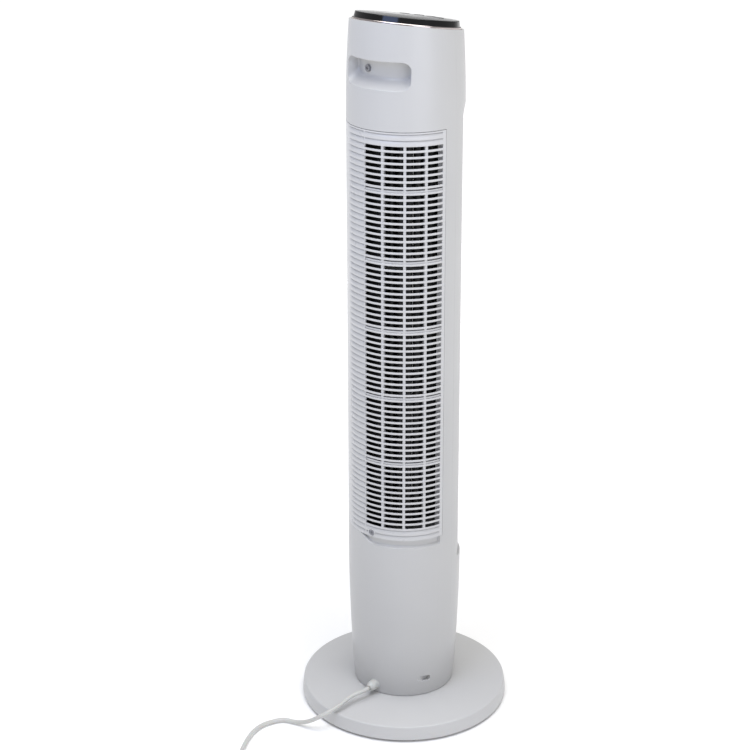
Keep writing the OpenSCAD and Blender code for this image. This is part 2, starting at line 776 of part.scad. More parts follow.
// ---- air path ----
scroll_from = 3;
scroll_to = 118;
scroll_room = 9.2;
function scroll_r(a) = impeller_r + 4 + (col_r(400) - wall - scroll_room - impeller_r - 4)
    * (a - scroll_from) / (scroll_to - scroll_from);
module scroll_wall() {
    color(grey_white) translate([0, 0, tray_z + tray_t]) linear_extrude(bracket_z - tray_z - tray_t)
        polygon(concat([for (k = [0 : 16]) let (a = scroll_from + (scroll_to - scroll_from) * k / 16)
            [scroll_r(a) * sin(a), scroll_r(a) * cos(a)]],
            [for (k = [16 : -1 : 0]) let (a = scroll_from + (scroll_to - scroll_from) * k / 16)
            [(scroll_r(a) + 2) * sin(a), (scroll_r(a) + 2) * cos(a)]]));
}

module tongue_wall() {
    t_r = impeller_r + 4;
    color(grey_white) translate([0, 0, tray_z + tray_t]) linear_extrude(bracket_z - tray_z - tray_t)
        rotate([0, 0, 90]) polygon(concat(
            [for (a = [100 : 4 : 116]) [t_r * cos(a), t_r * sin(a)]],
            [for (k = [1 : 4]) let (a = 116 + 2 * k, r = t_r + 3.2 * k) [r * cos(a), r * sin(a)]],
            [for (k = [4 : -1 : 1]) let (a = 113 + 2 * k, r = t_r + 3.2 * k) [r * cos(a), r * sin(a)]],
            [for (a = [114 : -4 : 102]) [(t_r + 2) * cos(a), (t_r + 2) * sin(a)]]));
}

module motor_tray() {
    color(grey_white) difference() {
        union() {
            cut_disc(tray_z, tray_t, col_r(tray_z) - wall - 0.4, col_r(tray_z) - 5.2);
            at_motor_bolts() translate([0, 0, motor_high]) cylinder(h = tray_z - motor_high + 1, r = 4);
        }
        cylinder(h = 400, r = 12);
        at_motor_bolts() cylinder(h = 400, d = 4.2);
        for (b = tray_boss) at(b[0], b[1], 0) cylinder(h = 400, d = 3.2);
        at(harness_a, harness_r, 0) cylinder(h = 400, r = 4.5);
    }
}

module tray_screws() {
    color(steel) for (b = tray_boss) at(b[0], b[1], tray_z + tray_t) screw(3, 12, 6, 1.8);
}

module upper_bracket() {
    color(grey_white) difference() {
        union() {
            cut_disc(bracket_z, bracket_t, col_r(bracket_z + 3) - wall - 0.4, col_r(bracket_z + 3) - 5.6);
            translate([0, 0, bracket_z]) cylinder(h = 14, r = 19);
            rotate([0, 0, handle_screw_a]) translate([-5, handle_r - 15, bracket_z])
                cube([10, 12.7, handle_screw_z + 6 - bracket_z]);
            for (k = [0 : 3]) rotate([0, 0, 90 * k + 45]) translate([18, -1, bracket_z])
                cube([26, 2, 9]);
        }
        translate([0, 0, bracket_z - 1]) cylinder(h = 30, r = 9);
        translate([0, 0, bracket_z + 2]) cylinder(h = 30, r = 15);
        radial(handle_screw_a, handle_screw_z, 20) cylinder(h = 40, d = 4.2);
        for (b = upper_boss) at(b[0], b[1], 0) cylinder(h = 900, d = 3.2);
        at(harness_a, harness_r, 0) cylinder(h = 900, r = 4.5);
        for (a = [15, 195]) sector(a, a + 50) translate([26, bracket_z - 1]) square([16, 5]);
    }
}

module bracket_screws() {
    color(steel) for (b = upper_boss) at(b[0], b[1], bracket_z + bracket_t) screw(3, 7, 6, 1.8);
}

module bearing_mount() {
    color(dark) translate([0, 0, bracket_z + 2]) tube(15 - fit_gap, 7 + fit_gap, 10);
}

module top_bush() {
    color(bronze) translate([0, 0, bracket_z + 2]) tube(7, shaft_r + run_gap, 10);
}

// blades round the rim, full height, held by discs
module impeller() {
    step = (impeller_top - impeller_z - disc_t) / spans;
    blade_r = 7;
    blade_t = 1;
    color(grey_white) difference() {
        union() {
            for (i = [0 : spans]) translate([0, 0, impeller_z + i * step])
                if (i == 0) tube(impeller_r, shaft_r + fit_gap, disc_t);
                else if (i == spans) cylinder(h = disc_t, r = impeller_r);
                else tube(impeller_r, impeller_r - 13, disc_t);
            translate([0, 0, impeller_z]) linear_extrude(impeller_top - impeller_z)
                for (k = [0 : blades - 1]) rotate([0, 0, 360 / blades * k])
                    translate([impeller_r - 5.9, 1.5]) intersection() {
                        difference() {
                            circle(blade_r);
                            circle(blade_r - blade_t);
                        }
                        translate([-1.5, -blade_r - 1]) square([blade_r + 0.2, blade_r + 1.5]);
                    }
            translate([0, 0, impeller_top - 3]) cylinder(h = 8, r = 7);
        }
        translate([0, 0, impeller_top - 1]) cylinder(h = 20, r = shaft_r + fit_gap / 2);
    }
}

module impeller_hub() {
    color(steel) difference() {
        union() {
            translate([0, 0, impeller_z - 20]) cylinder(h = 20, r = 8.5);
            translate([0, 0, impeller_z - 3]) cylinder(h = 3, r = 18);
        }
        cylinder(h = 400, r = shaft_r + fit_gap / 2);
        translate([0, 0, impeller_z - 12]) rotate([0, 90, 0]) cylinder(h = 20, d = 4.1);
    }
}

module motor_shaft() {
    color(steel) {
        translate([0, 0, motor_low - 3]) cylinder(h = impeller_z + 2 - motor_low + 3, r = shaft_r);
        translate([0, 0, impeller_top - 1]) cylinder(h = bracket_z + 13 - impeller_top + 1, r = shaft_r);
        translate([shaft_r + 0.1, 0, impeller_z - 12]) rotate([0, 90, 0]) cylinder(h = 5.2, d = 4);
    }
}

// ---- motor ----
module rotor_core() {
    color(steel) translate([0, 0, core_low]) difference() {
        cylinder(h = core_high - core_low, r = core_bore - 0.4);
        translate([0, 0, -1]) cylinder(h = 60, r = shaft_r + fit_gap / 2);
    }
}

module motor_core() {
    color(steel) translate([0, 0, core_low]) difference() {
        cylinder(h = core_high - core_low, r = core_r);
        translate([0, 0, -1]) cylinder(h = 60, r = core_bore);
        for (k = [0 : 7]) rotate([0, 0, 45 * k]) translate([core_bore - 2, -1.2, -1]) cube([4, 2.4, 60]);
        for (k = [0 : 7]) rotate([0, 0, 45 * k]) translate([28.5, 0, -1]) cylinder(h = 60, r = 4);
        at_motor_bolts() translate([0, 0, -1]) cylinder(h = 60, d = 4.2);
    }
}

module motor_windings() {
    color(copper) for (z = [core_low - 10, core_high]) translate([0, 0, z]) rotate_extrude()
        translate([29, 5]) round_rect(9.6, 9.9, 3);
}

module motor_shields() {
    color(steel) {
        translate([0, 0, core_high]) motor_shield(motor_high - core_high);
        translate([0, 0, core_low]) mirror([0, 0, 1]) motor_shield(core_low - motor_low);
    }
}

module motor_shield(h) {
    difference() {
        cylinder(h = h, r = core_r + 0.4);
        translate([0, 0, -1]) cylinder(h = h - 0.5, r = 34.5);
        cylinder(h = 60, r = 6);
        at_motor_bolts() translate([0, 0, -1]) cylinder(h = 60, d = 4.2);
    }
}

module motor_bushes() {
    color(bronze) for (z = [motor_low + 1.5 - 3.5, motor_high - 1.5 - 6.5])
        translate([0, 0, z]) tube(6 - fit_gap / 2, shaft_r + run_gap, 10);
}

module motor_bolts() {
    color(steel) at_motor_bolts() translate([0, 0, motor_low]) rotate([180, 0, 0])
        screw(4, tray_z - motor_low + 1, 7, 2.4);
}

module run_capacitor() {
    color(dark) translate([36, 0, floor_z + floor_t]) block(15, 34, 26, 2);
}

module swing_motor() {
    color(steel) difference() {
        union() {
            translate([0, -swing_back, floor_z + floor_t]) cylinder(h = 18, r = 14);
            translate([0, -swing_back, gear_z - 5]) block(42, 7, 1, 3.4);
            translate([0, -gear_c, floor_z + floor_t + 17])
                cylinder(h = gear_z - floor_z - floor_t - 18, r = 4.4);
        }
        at_swing_lugs() cylinder(h = 90, d = 3.2);
        translate([0, -gear_c, floor_z + floor_t + 8]) cylinder(h = 40, r = 2.5 + run_gap);
    }
}

module swing_motor_screws() {
    color(steel) at_swing_lugs() translate([0, 0, gear_z - 4]) screw(3, 9, 5.5, 1.6);
}

module swing_pinion() {
    color(pom) translate([0, -gear_c, 0]) {
        translate([0, 0, gear_z + 0.2]) rotate([0, 0, 90 + 180 / pinion_teeth])
            linear_extrude(gear_t - 0.4) gear_2d(pinion_teeth);
        translate([0, 0, floor_z + floor_t + 10])
            cylinder(h = gear_z + 1 - floor_z - floor_t - 10, r = 2.5);
    }
}

// ---- wiring ----
harness_a = 107;
harness_r = 53.5;
block_at = [-22.2, 28.4];
function on_ring(a, r, z) = [-r * sin(a), r * cos(a), z];
module terminal_block() {
    color(pom) translate([block_at[0], block_at[1], floor_z + floor_t]) rotate([0, 0, 38]) difference() {
        block(24, 12, 13, 1.5);
        for (x = [-7, 0, 7]) translate([x, 0, 6]) cylinder(h = 10, d = 4);
    }
}

module inner_lead() {
    z = floor_z + floor_t + 6.5;
    color(dark) lead(curve([[0, col_r(gland_z) - 10, gland_z], [-0.4, 44.6, gland_z + 0.2],
        [-3, 41.6, z - 0.4], [-8, 39.4, z], [-12.6, 35.9, z]], 3), 2, 8, [0, 0, 1]);
}

module wire_harness() {
    z = floor_z + floor_t;
    top = column_top - 8.2 * tan(top_tilt) - 7 / cos(top_tilt) - 0.7;
    color(dark) lead(concat(
        curve([[-31.8, 20.9, z + 6.5], [-36, 17.6, z + 6.6], [-42.6, 10.6, z + 10], [-47.6, 2, z + 20],
            on_ring(harness_a - 8, harness_r, z + 40), on_ring(harness_a, harness_r, tray_z - 60)], 3),
        [on_ring(harness_a, harness_r, tray_z + 30),
            on_ring(harness_a, harness_r, (tray_z + bracket_z) / 2),
            on_ring(harness_a, harness_r, bracket_z - 30)],
        curve([on_ring(harness_a, harness_r, bracket_z + 20), on_ring(harness_a, harness_r - 3, top - 30),
            on_ring(harness_a - 1, harness_r - 13, top - 13),
            on_ring(harness_a - 2, harness_r - 21.5, top - 6),
            on_ring(harness_a - 2, harness_r - 22.5, top)], 3)),
        2.6, 8, [0.3, -0.95, 0]);
}

module strain_relief() {
    face = col_r(gland_z);
    color(white) radial(0, gland_z, 0) difference() {
        rotate_extrude() polygon([[0, face - 11], [4.4, face - 11], [4.4, face + 0.45], [5.1, face + 0.45],
            [5.7, face + 2.4], [5.8, face + 4.6], [5.3, face + 7], [4.3, face + 9], [3.3, face + 10.3],
            [2.9, face + gland_out], [0, face + gland_out]]);
        translate([0, 0, face - 12]) cylinder(h = 8, r = 2.1);
    }
}

base_cover();
base_bottom();
ballast_plate();
rubber_feet();
base_screws();
pivot_post();
pivot_screws();
thrust_ring();
retaining_washer();
retaining_bolt();
swing_gear();
power_cord();
cord_coil();
cord_tie();
plug_body();
plug_pins();
column_floor();
rear_shell();
front_shell();
floor_screws();
handle_screw();
rear_grille();
grille_screw();
front_grille();
trim_ring();
top_panel();
display_window();
control_board();
tact_switches();
board_screws();
display_module();
motor_tray();
tray_screws();
upper_bracket();
bracket_screws();
scroll_wall();
tongue_wall();
motor_core();
motor_windings();
motor_shields();
motor_bushes();
motor_bolts();
run_capacitor();
bearing_mount();
top_bush();
swing_motor();
swing_motor_screws();
terminal_block();
wire_harness();
strain_relief();
inner_lead();
impeller();
impeller_hub();
motor_shaft();
rotor_core();
swing_pinion();
power_button();
speed_button();
timer_button();
swing_button();
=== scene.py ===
"""Tower fan, rear three-quarter view: white moulded column on a round base, slotted intake grille,
handle recess, black control panel on a sloping top, cord coming out of a ball-shaped gland."""

from math import asin, atan2, cos, degrees, pi, radians, sin, sqrt, tan

import bmesh
import bpy
from mathutils import Matrix, Vector


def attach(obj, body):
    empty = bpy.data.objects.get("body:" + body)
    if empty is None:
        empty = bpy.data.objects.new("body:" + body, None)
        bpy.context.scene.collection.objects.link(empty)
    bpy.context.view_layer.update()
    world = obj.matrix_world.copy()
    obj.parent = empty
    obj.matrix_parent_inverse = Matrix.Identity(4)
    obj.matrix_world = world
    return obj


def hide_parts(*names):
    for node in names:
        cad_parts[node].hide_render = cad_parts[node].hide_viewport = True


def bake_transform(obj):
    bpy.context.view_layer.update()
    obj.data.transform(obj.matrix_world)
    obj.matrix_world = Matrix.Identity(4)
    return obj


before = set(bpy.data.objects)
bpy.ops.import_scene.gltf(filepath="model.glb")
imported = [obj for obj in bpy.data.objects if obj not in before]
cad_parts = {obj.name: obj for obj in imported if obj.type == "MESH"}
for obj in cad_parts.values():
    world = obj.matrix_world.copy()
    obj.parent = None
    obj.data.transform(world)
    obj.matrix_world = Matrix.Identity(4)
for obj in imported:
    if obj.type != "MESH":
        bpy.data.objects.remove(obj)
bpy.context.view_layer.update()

# ---- sizes, in millimetres and degrees; angles run from the rear towards the -X side ----
MM = 0.001

# base: its radius, top, feet and wall, the hole round the post, and the height of its rim
BASE_R, BASE_TOP, FOOT_H, BASE_WALL = 120, 23, 3, 2.5
POST_HOLE_R, RIM_Z = 27.5, BASE_TOP - 3.8

# column: radius at its widest, at its foot and at its mouth, which slopes by TILT
COLUMN_R, FOOT_R, NECK_R = 64, 58, 59
COLUMN_TOP, TILT = 793, 10
FOOT_Z, BELLY_Z, SHOULDER_Z = 23.6, 190, 700
MID_TAPER, WALL = 0.8, 2.2
MOUTH_Z = COLUMN_TOP + NECK_R * tan(radians(TILT)) + 0.4

# seam between the rear and the front half of the case
SEAM, SEAM_GAP = 92, 0.05

# intake grille: the panel, its rows of slots, and the uprights that cross them
GRILLE_LOW, GRILLE_HIGH, GRILLE_HALF = 226.5, 693, 77
GRILLE_GAP, GRILLE_T = 0.6, 1.9
SLOT_PITCH, SLOT_GAP, SLOT_ROWS = 6.45, 3.95, 68
SLOT_FIRST = GRILLE_LOW + 17.1
SLOT_FROM, SLOT_TO = -7.6, 73
BARS, BAR_HALF = (12.2, 34.3, 55.4), 1.35
WEB_EVERY = 12
FOOT_SCREW_Z = 231.7

# stepped band under the grille: over LIP_RISE degrees at its left end it rises to nothing, and its depth
# fades out over LIP_SOFT_LEFT and LIP_SOFT_RIGHT degrees at its ends
LIP_LOW, LIP_FROM, LIP_TO, LIP_DEPTH = 216.5, -17, 74, 3.2
LIP_RISE, LIP_SOFT_LEFT, LIP_SOFT_RIGHT = 20, 8, 0.7

# handle recess: its mouth, its smaller back at radius HANDLE_R, and the screw in it
HANDLE_W, HANDLE_LOW, HANDLE_HIGH, HANDLE_R = 79, 736, 764.5, 49
MOUTH_CORNER, MOUTH_FILLET = 8.5, 1.2
BACK_W, BACK_LOW, BACK_HIGH, BACK_CORNER, BACK_FILLET = HANDLE_W - 13, 744.5, 766, 7.5, 2.2
HANDLE_SCREW_ANGLE, HANDLE_SCREW_Z = -16.5, 753

# outlet
OUTLET_FROM, OUTLET_TO, OUTLET_LOW, OUTLET_HIGH = 106, 254, 188, 692

# gland
GLAND_Z, GLAND_OUT, GLAND_HOLE_R = 33.8, 12.5, 4.9

# cap, keys and display window
CAP_H, DOME_H = 9, 1
BUTTON_RING, BUTTON_R = 34, 5.5
BUTTON_ANGLES = (-39, -13, 13, 39)
WINDOW_W, WINDOW_D, WINDOW_Y, WINDOW_CORNER = 46, 20, 8, 3

# corners round a full turn on large pieces, small ones and keys, and steps in a fillet
ROUND, SMALL_ROUND, KEY_ROUND, ARC_STEPS = 160, 40, 48, 5
# a bevel rounds edges that turn by more than ROUND_OVER, and a cut keeps those over KEEP_SHARP sharp
ROUND_OVER, KEEP_SHARP = 38, 50


def column_r(z):
    """Outside radius of the column at height z."""
    if z < BELLY_Z:
        return COLUMN_R - (COLUMN_R - FOOT_R) * ((BELLY_Z - z) / (BELLY_Z - FOOT_Z)) ** 2
    middle = COLUMN_R - MID_TAPER * min(1, (z - BELLY_Z) / (SHOULDER_Z - BELLY_Z))
    if z < SHOULDER_Z:
        return middle
    return middle - (middle - NECK_R) * ((z - SHOULDER_Z) / (MOUTH_Z - SHOULDER_Z)) ** 2


def polar(r, angle, z):
    """The point at this radius, angle and height."""
    a = radians(angle)
    return Vector((-r * sin(a), r * cos(a), z))


def on_wall(angle, z, depth=0):
    """The point this deep under the column's outer face."""
    return polar(column_r(z) - depth, angle, z)


def lip_z(angle):
    """Height of the sloping mouth at this angle."""
    z = COLUMN_TOP
    for _ in range(4):
        z = COLUMN_TOP + column_r(z) * cos(radians(angle)) * tan(radians(TILT))
    return z


def smooth(t):
    """0 below 0, 1 above 1, and a soft step between them."""
    t = max(0, min(1, t))
    return t * t * (3 - 2 * t)


def ladder(*stops):
    """Values from stop to stop; each stop is (value, largest step up to the next one)."""
    values = []
    for (low, step), (high, _) in zip(stops, stops[1:]):
        count = max(1, round((high - low) / step + 0.3))
        values += [low + (high - low) * k / count for k in range(count)]
    return values + [stops[-1][0]]


# ---- camera: lengths in metres, lens in millimetres ----
CAMERA_AZIMUTH, CAMERA_FAR, CAMERA_HIGH = 215, 1.9081, 1.160
CAMERA_PITCH, CAMERA_YAW, CAMERA_ROLL = 21.69, -1.0, -0.18
CAMERA_LENS, CAMERA_SENSOR = 88.464, 36


def place_camera():
    """A long lens behind the fan and above it, turned, pitched and rolled from straight ahead."""
    azimuth, pitch = radians(CAMERA_AZIMUTH), radians(CAMERA_PITCH)
    yaw, roll = radians(CAMERA_YAW), radians(CAMERA_ROLL)
    side = Vector((cos(azimuth), sin(azimuth), 0))
    away = Vector((-sin(azimuth), cos(azimuth), 0))
    level = sin(yaw) * side + cos(yaw) * away
    right = cos(yaw) * side - sin(yaw) * away
    ahead = level * cos(pitch) - Vector((0, 0, sin(pitch)))
    over = level * sin(pitch) + Vector((0, 0, cos(pitch)))
    axes = Matrix((cos(roll) * right + sin(roll) * over, cos(roll) * over - sin(roll) * right, -ahead))
    data = bpy.data.cameras.new("camera")
    data.lens, data.sensor_width = CAMERA_LENS, CAMERA_SENSOR
    data.clip_start, data.clip_end = 0.05, 50
    camera = bpy.data.objects.new("camera", data)
    camera.matrix_world = axes.transposed().to_4x4()
    camera.location = -away * CAMERA_FAR + Vector((0, 0, CAMERA_HIGH))
    bpy.context.scene.collection.objects.link(camera)
    bpy.context.scene.camera = camera


place_camera()


# ---- materials ----
def linear(colour):
    """Linear RGBA of an sRGB hex colour."""
    parts = [int(colour[k:k + 2], 16) / 255 for k in (1, 3, 5)]
    return [c / 12.92 if c <= 0.04045 else ((c + 0.055) / 1.055) ** 2.4 for c in parts] + [1]


def add(tree, kind, feeds=None, **settings):
    """Adds a node with its settings; feeds gives each input a value or the socket that drives it."""
    made = tree.nodes.new("ShaderNode" + kind)
    for name, value in settings.items():
        setattr(made, name, value)
    for name, value in (feeds or {}).items():
        if isinstance(value, bpy.types.NodeSocket):
            tree.links.new(value, made.inputs[name])
        else:
            made.inputs[name].default_value = value
    return made


def finish(name, colour, roughness, **sockets):
    """A material whose even values sit on its shader, and that shader's node tree."""
    material = bpy.data.materials.new(name)
    material.use_nodes = True
    shader = material.node_tree.nodes["Principled BSDF"]
    values = {"Base Color": linear(colour), "Roughness": roughness}
    values.update({key.replace("_", " "): value for key, value in sockets.items()})
    for key, value in values.items():
        shader.inputs[key].default_value = value
    return material, material.node_tree, shader


def grain(tree, shader, size, height, spread, stretch=(1, 1, 1)):
    """Surface texture of grains size mm wide and height mm high; its roughness wanders by spread."""
    place = add(tree, "TexCoord").outputs["Object"]
    place = add(tree, "Mapping", {"Vector": place, "Scale": stretch}).outputs["Vector"]
    fine = add(tree, "TexNoise", {"Vector": place, "Scale": 1 / (size * MM), "Detail": 3, "Roughness": 0.55})
    bump = add(tree, "Bump", {"Height": fine.outputs["Fac"], "Distance": height * MM, "Strength": 1})
    tree.links.new(bump.outputs["Normal"], shader.inputs["Normal"])
    # the roughness drifts over patches about eight grains wide
    broad = add(tree, "TexNoise", {"Vector": place, "Scale": 0.12 / (size * MM), "Detail": 2})
    centre = shader.inputs["Roughness"].default_value
    rough = add(tree, "MapRange", {"Value": broad.outputs["Fac"], "From Min": 0.3, "From Max": 0.7,
                                   "To Min": centre - spread, "To Max": centre + spread})
    tree.links.new(rough.outputs["Result"], shader.inputs["Roughness"])


def clouded(tree, shader, colour_a, colour_b, size):
    """Colour that drifts between two shades over patches size mm wide."""
    place = add(tree, "TexCoord").outputs["Object"]
    cloud = add(tree, "TexNoise", {"Vector": place, "Scale": 1 / (size * MM), "Detail": 2, "Roughness": 0.6})
    ramp = add(tree, "ValToRGB", {"Fac": cloud.outputs["Fac"]})
    ramp.color_ramp.elements[0].position, ramp.color_ramp.elements[1].position = 0.35, 0.65
    ramp.color_ramp.elements[0].color = linear(colour_a)
    ramp.color_ramp.elements[1].color = linear(colour_b)
    tree.links.new(ramp.outputs["Color"], shader.inputs["Base Color"])


def moulded_abs():
    # injection-moulded ABS, satin: soft wide highlights and a faint orange peel
    material, tree, shader = finish("abs_moulded_white", "#BEBEBE", 0.34, IOR=1.53)
    clouded(tree, shader, "#BDBDBD", "#BFBFBF", size=90)
    grain(tree, shader, size=1.6, height=0.004, spread=0.03)
    return material


def grille_abs():
    # the same ABS in the grille's mould, polished a little more: crisp light edges on each slat. Its colour,
    # a shade lighter than the case's ABS, is painted light: the slats' brightness under the light from above
    material, tree, shader = finish("abs_grille_white_painted_lighter", "#C5C5C6", 0.3, IOR=1.53)
    clouded(tree, shader, "#C4C4C5", "#C6C6C7", size=60)
    grain(tree, shader, size=1.2, height=0.003, spread=0.03)
    return material


def base_abs():
    # ABS of the base, finely textured so that it doesn't show scratches: no mirror at all
    material, tree, shader = finish("abs_base_white", "#CACACA", 0.44, IOR=1.53)
    clouded(tree, shader, "#C9C9C9", "#CBCBCB", size=110)
    grain(tree, shader, size=1.1, height=0.008, spread=0.03)
    return material


def piano_black():
    # polycarbonate polished and lacquered: mirror-like black that picks up the studio lights
    material, tree, shader = finish("polycarbonate_black_gloss", "#060607", 0.11, IOR=1.55)
    grain(tree, shader, size=6, height=0.001, spread=0.02)
    return material


def smoked_window():
    # tinted acrylic over the display: near black with a clean gloss
    material, tree, shader = finish("acrylic_smoked", "#0B0D10", 0.05, IOR=1.49, Coat_Weight=0.6)
    grain(tree, shader, size=8, height=0.0008, spread=0.015)
    return material


def key_gloss():
    # lacquered ABS key caps: the gloss of the panel, a shade lighter
    material, tree, shader = finish("abs_key_lacquered", "#101114", 0.11, IOR=1.53)
    grain(tree, shader, size=2, height=0.001, spread=0.03)
    return material


def chrome():
    # bright chrome plate on plastic: a thin mirror line, slightly wavy; its warm pink tint is a painted
    # reflection of warm tones round it
    material, tree, shader = finish("chrome_plated", "#D8CECC", 0.14, Metallic=1.0)
    grain(tree, shader, size=5, height=0.002, spread=0.03)
    return material


def zinc_steel():
    # zinc-plated screws: bright grey metal with a fine brushed sparkle
    material, tree, shader = finish("steel_zinc_plated", "#8F9096", 0.4, Metallic=1.0)
    grain(tree, shader, size=0.7, height=0.006, spread=0.1, stretch=(1, 1, 3))
    return material


def rolled_steel():
    # mill-finish plate and laminations: darker grey with long rolling marks
    material, tree, shader = finish("steel_rolled", "#8C8F93", 0.46, Metallic=1.0)
    grain(tree, shader, size=1.5, height=0.01, spread=0.1, stretch=(1, 12, 1))
    return material


def sintered_bronze():
    # porous oil-filled bearing bronze: dull gold with open pores
    material, tree, shader = finish("bronze_sintered", "#A8824F", 0.5, Metallic=1.0)
    grain(tree, shader, size=0.5, height=0.02, spread=0.08)
    return material


def enamelled_copper():
    # varnished winding wire: red-brown metal under a glossy skin, drawn as turns 2 mm apart
    material, tree, shader = finish("copper_enamelled", "#A5562C", 0.3, Metallic=0.8, Coat_Weight=0.5)
    place = add(tree, "TexCoord").outputs["Object"]
    turn, band = 1.9635, pi / 10  # the wave texture's bands are pi / 10 apart at scale 1
    turns = add(tree, "TexWave", {"Vector": place, "Scale": band / (turn * MM), "Distortion": 0.6},
                bands_direction="Z")
    bump = add(tree, "Bump", {"Height": turns.outputs["Fac"], "Distance": 0.3 * MM, "Strength": 1})
    tree.links.new(bump.outputs["Normal"], shader.inputs["Normal"])
    return material


def acetal():
    # natural POM gears and washers: milky, waxy and slightly translucent
    material, tree, shader = finish("pom_natural", "#E9E6DC", 0.38, IOR=1.48, Subsurface_Weight=0.15)
    grain(tree, shader, size=1.4, height=0.006, spread=0.04)
    return material


def circuit_board():
    # solder mask over copper tracks: green gloss with faint raised lines, drawn about 1.1 mm apart
    material, tree, shader = finish("fr4_solder_mask", "#1C5B36", 0.3, IOR=1.55)
    place = add(tree, "TexCoord").outputs["Object"]
    spacing, course = 1.1364, 0.25  # the brick texture's courses are 0.25 high at scale 1
    tracks = add(tree, "TexBrick", {"Vector": place, "Scale": course / (spacing * MM), "Mortar Size": 0.02})
    bump = add(tree, "Bump", {"Height": tracks.outputs["Fac"], "Distance": 0.05 * MM, "Strength": 1})
    tree.links.new(bump.outputs["Normal"], shader.inputs["Normal"])
    return material


def dark_abs():
    # charcoal ABS of the fan wheel and ducts, also given to the other inner parts: partly their own colour,
    # partly painted shade that keeps the slots black
    material, tree, shader = finish("abs_charcoal", "#0C0C0D", 0.55, IOR=1.53)
    clouded(tree, shader, "#0A0A0B", "#0E0E10", size=40)
    grain(tree, shader, size=1.2, height=0.01, spread=0.05)
    return material


def rubber():
    # soft grey feet: matt, with a dusty surface
    material, tree, shader = finish("rubber_grey", "#A9A9A8", 0.75, IOR=1.52)
    clouded(tree, shader, "#A2A2A1", "#B0B0AF", size=5)
    grain(tree, shader, size=0.6, height=0.02, spread=0.06)
    return material


def cord_pvc():
    # extruded PVC sheath: smooth soft white with a waxy highlight
    material, tree, shader = finish("pvc_cord_white", "#CACAC7", 0.4, IOR=1.53, Subsurface_Weight=0.05)
    clouded(tree, shader, "#C7C7C4", "#CDCDCA", size=30)
    grain(tree, shader, size=1.5, height=0.008, spread=0.05)
    return material


def lead_pvc():
    # sleeve over the inner wires: matt black PVC, its skin drawn coarse
    material, tree, shader = finish("pvc_sleeve_black", "#17171A", 0.5, IOR=1.53)
    grain(tree, shader, size=0.8, height=0.08, spread=0.08, stretch=(1, 1, 2))
    return material


def paper():
    # matt seamless paper, lit from below: a pale glow that is weaker round the base and far away
    material, tree, shader = finish("paper_seamless", "#F6F6F6", 0.9, IOR=1.45)
    shader.inputs["Emission Color"].default_value = linear("#FFFFFF")
    clouded(tree, shader, "#F5F5F5", "#F8F8F8", size=900)
    place = add(tree, "TexCoord").outputs["Object"]
    away = add(tree, "VectorMath", {"Vector": place}, operation="LENGTH").outputs["Value"]
    glow = add(tree, "MapRange", {"Value": away, "From Min": 0.3, "From Max": 1.5,
                                  "To Min": 0.12, "To Max": 0.7})
    fade = add(tree, "MapRange", {"Value": away, "From Min": 7, "From Max": 9, "To Min": 1, "To Max": 0.3})
    both = add(tree, "Math", {0: glow.outputs["Result"], 1: fade.outputs["Result"]}, operation="MULTIPLY")
    tree.links.new(both.outputs["Value"], shader.inputs["Emission Strength"])
    return material


# GRILLE_ABS is painted a shade lighter than ABS: painted light on the slats and on the other grille pieces
ABS, GRILLE_ABS, BASE_ABS = moulded_abs(), grille_abs(), base_abs()
BLACK, SMOKED, KEY, CHROME = piano_black(), smoked_window(), key_gloss(), chrome()
ZINC, STEEL, BRONZE, COPPER = zinc_steel(), rolled_steel(), sintered_bronze(), enamelled_copper()
POM, BOARD, CHARCOAL_AND_SHADE, RUBBER = acetal(), circuit_board(), dark_abs(), rubber()
CORD, LEAD, PAPER = cord_pvc(), lead_pvc(), paper()


# ---- making pieces ----
def piece(name, bm, material, wall=None, edge=None, weigh=True):
    """An object from a mesh in millimetres, thickened inwards by wall, its edges rounded by edge."""
    bmesh.ops.scale(bm, vec=(MM, MM, MM), verts=bm.verts)
    mesh = bpy.data.meshes.new(name)
    bm.to_mesh(mesh)
    bm.free()
    mesh.materials.append(material)
    mesh.polygons.foreach_set("use_smooth", [True] * len(mesh.polygons))
    made = bpy.data.objects.new(name, mesh)
    bpy.context.scene.collection.objects.link(made)
    if wall:
        shell = made.modifiers.new("wall", "SOLIDIFY")
        shell.thickness, shell.offset = wall * MM, -1
    if edge:
        rounding = made.modifiers.new("edges", "BEVEL")
        rounding.width, rounding.segments, rounding.limit_method = edge * MM, 2, "ANGLE"
        rounding.angle_limit, rounding.use_clamp_overlap = radians(ROUND_OVER), True
    if weigh:
        made.modifiers.new("normals", "WEIGHTED_NORMAL")
    return made


def mount(made, body, slot, *nodes):
    """made rides on the body and stands for those CAD nodes, which are hidden; slot is not used."""
    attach(made, body)
    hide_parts(*nodes)


def carve(made, bm):
    """Cuts the solid in bm, in millimetres, out of a piece."""
    bmesh.ops.scale(bm, vec=(MM, MM, MM), verts=bm.verts)
    mesh = bpy.data.meshes.new("cutter")
    bm.to_mesh(mesh)
    bm.free()
    tool = bpy.data.objects.new("cutter", mesh)
    bpy.context.scene.collection.objects.link(tool)
    made.modifiers.remove(made.modifiers["normals"])
    cut = made.modifiers.new("hole", "BOOLEAN")
    cut.object, cut.solver = tool, "MANIFOLD"
    cut_mesh = bpy.data.meshes.new_from_object(made.evaluated_get(bpy.context.evaluated_depsgraph_get()))
    cut_mesh.set_sharp_from_angle(angle=radians(KEEP_SHARP))
    made.modifiers.clear()
    made.data = cut_mesh
    bpy.data.objects.remove(tool)
    made.modifiers.new("normals", "WEIGHTED_NORMAL").keep_sharp = True


def drill(made, place, aim, radius, depth):
    """Cuts a round blind hole into a piece, from place along aim, in millimetres."""
    bm = bmesh.new()
    bmesh.ops.create_cone(bm, cap_ends=True, segments=SMALL_ROUND, radius1=radius, radius2=radius,
                          depth=2 * depth)
    bm.transform(Matrix.Translation(place) @ aim.to_track_quat("Z", "Y").to_matrix().to_4x4())
    carve(made, bm)


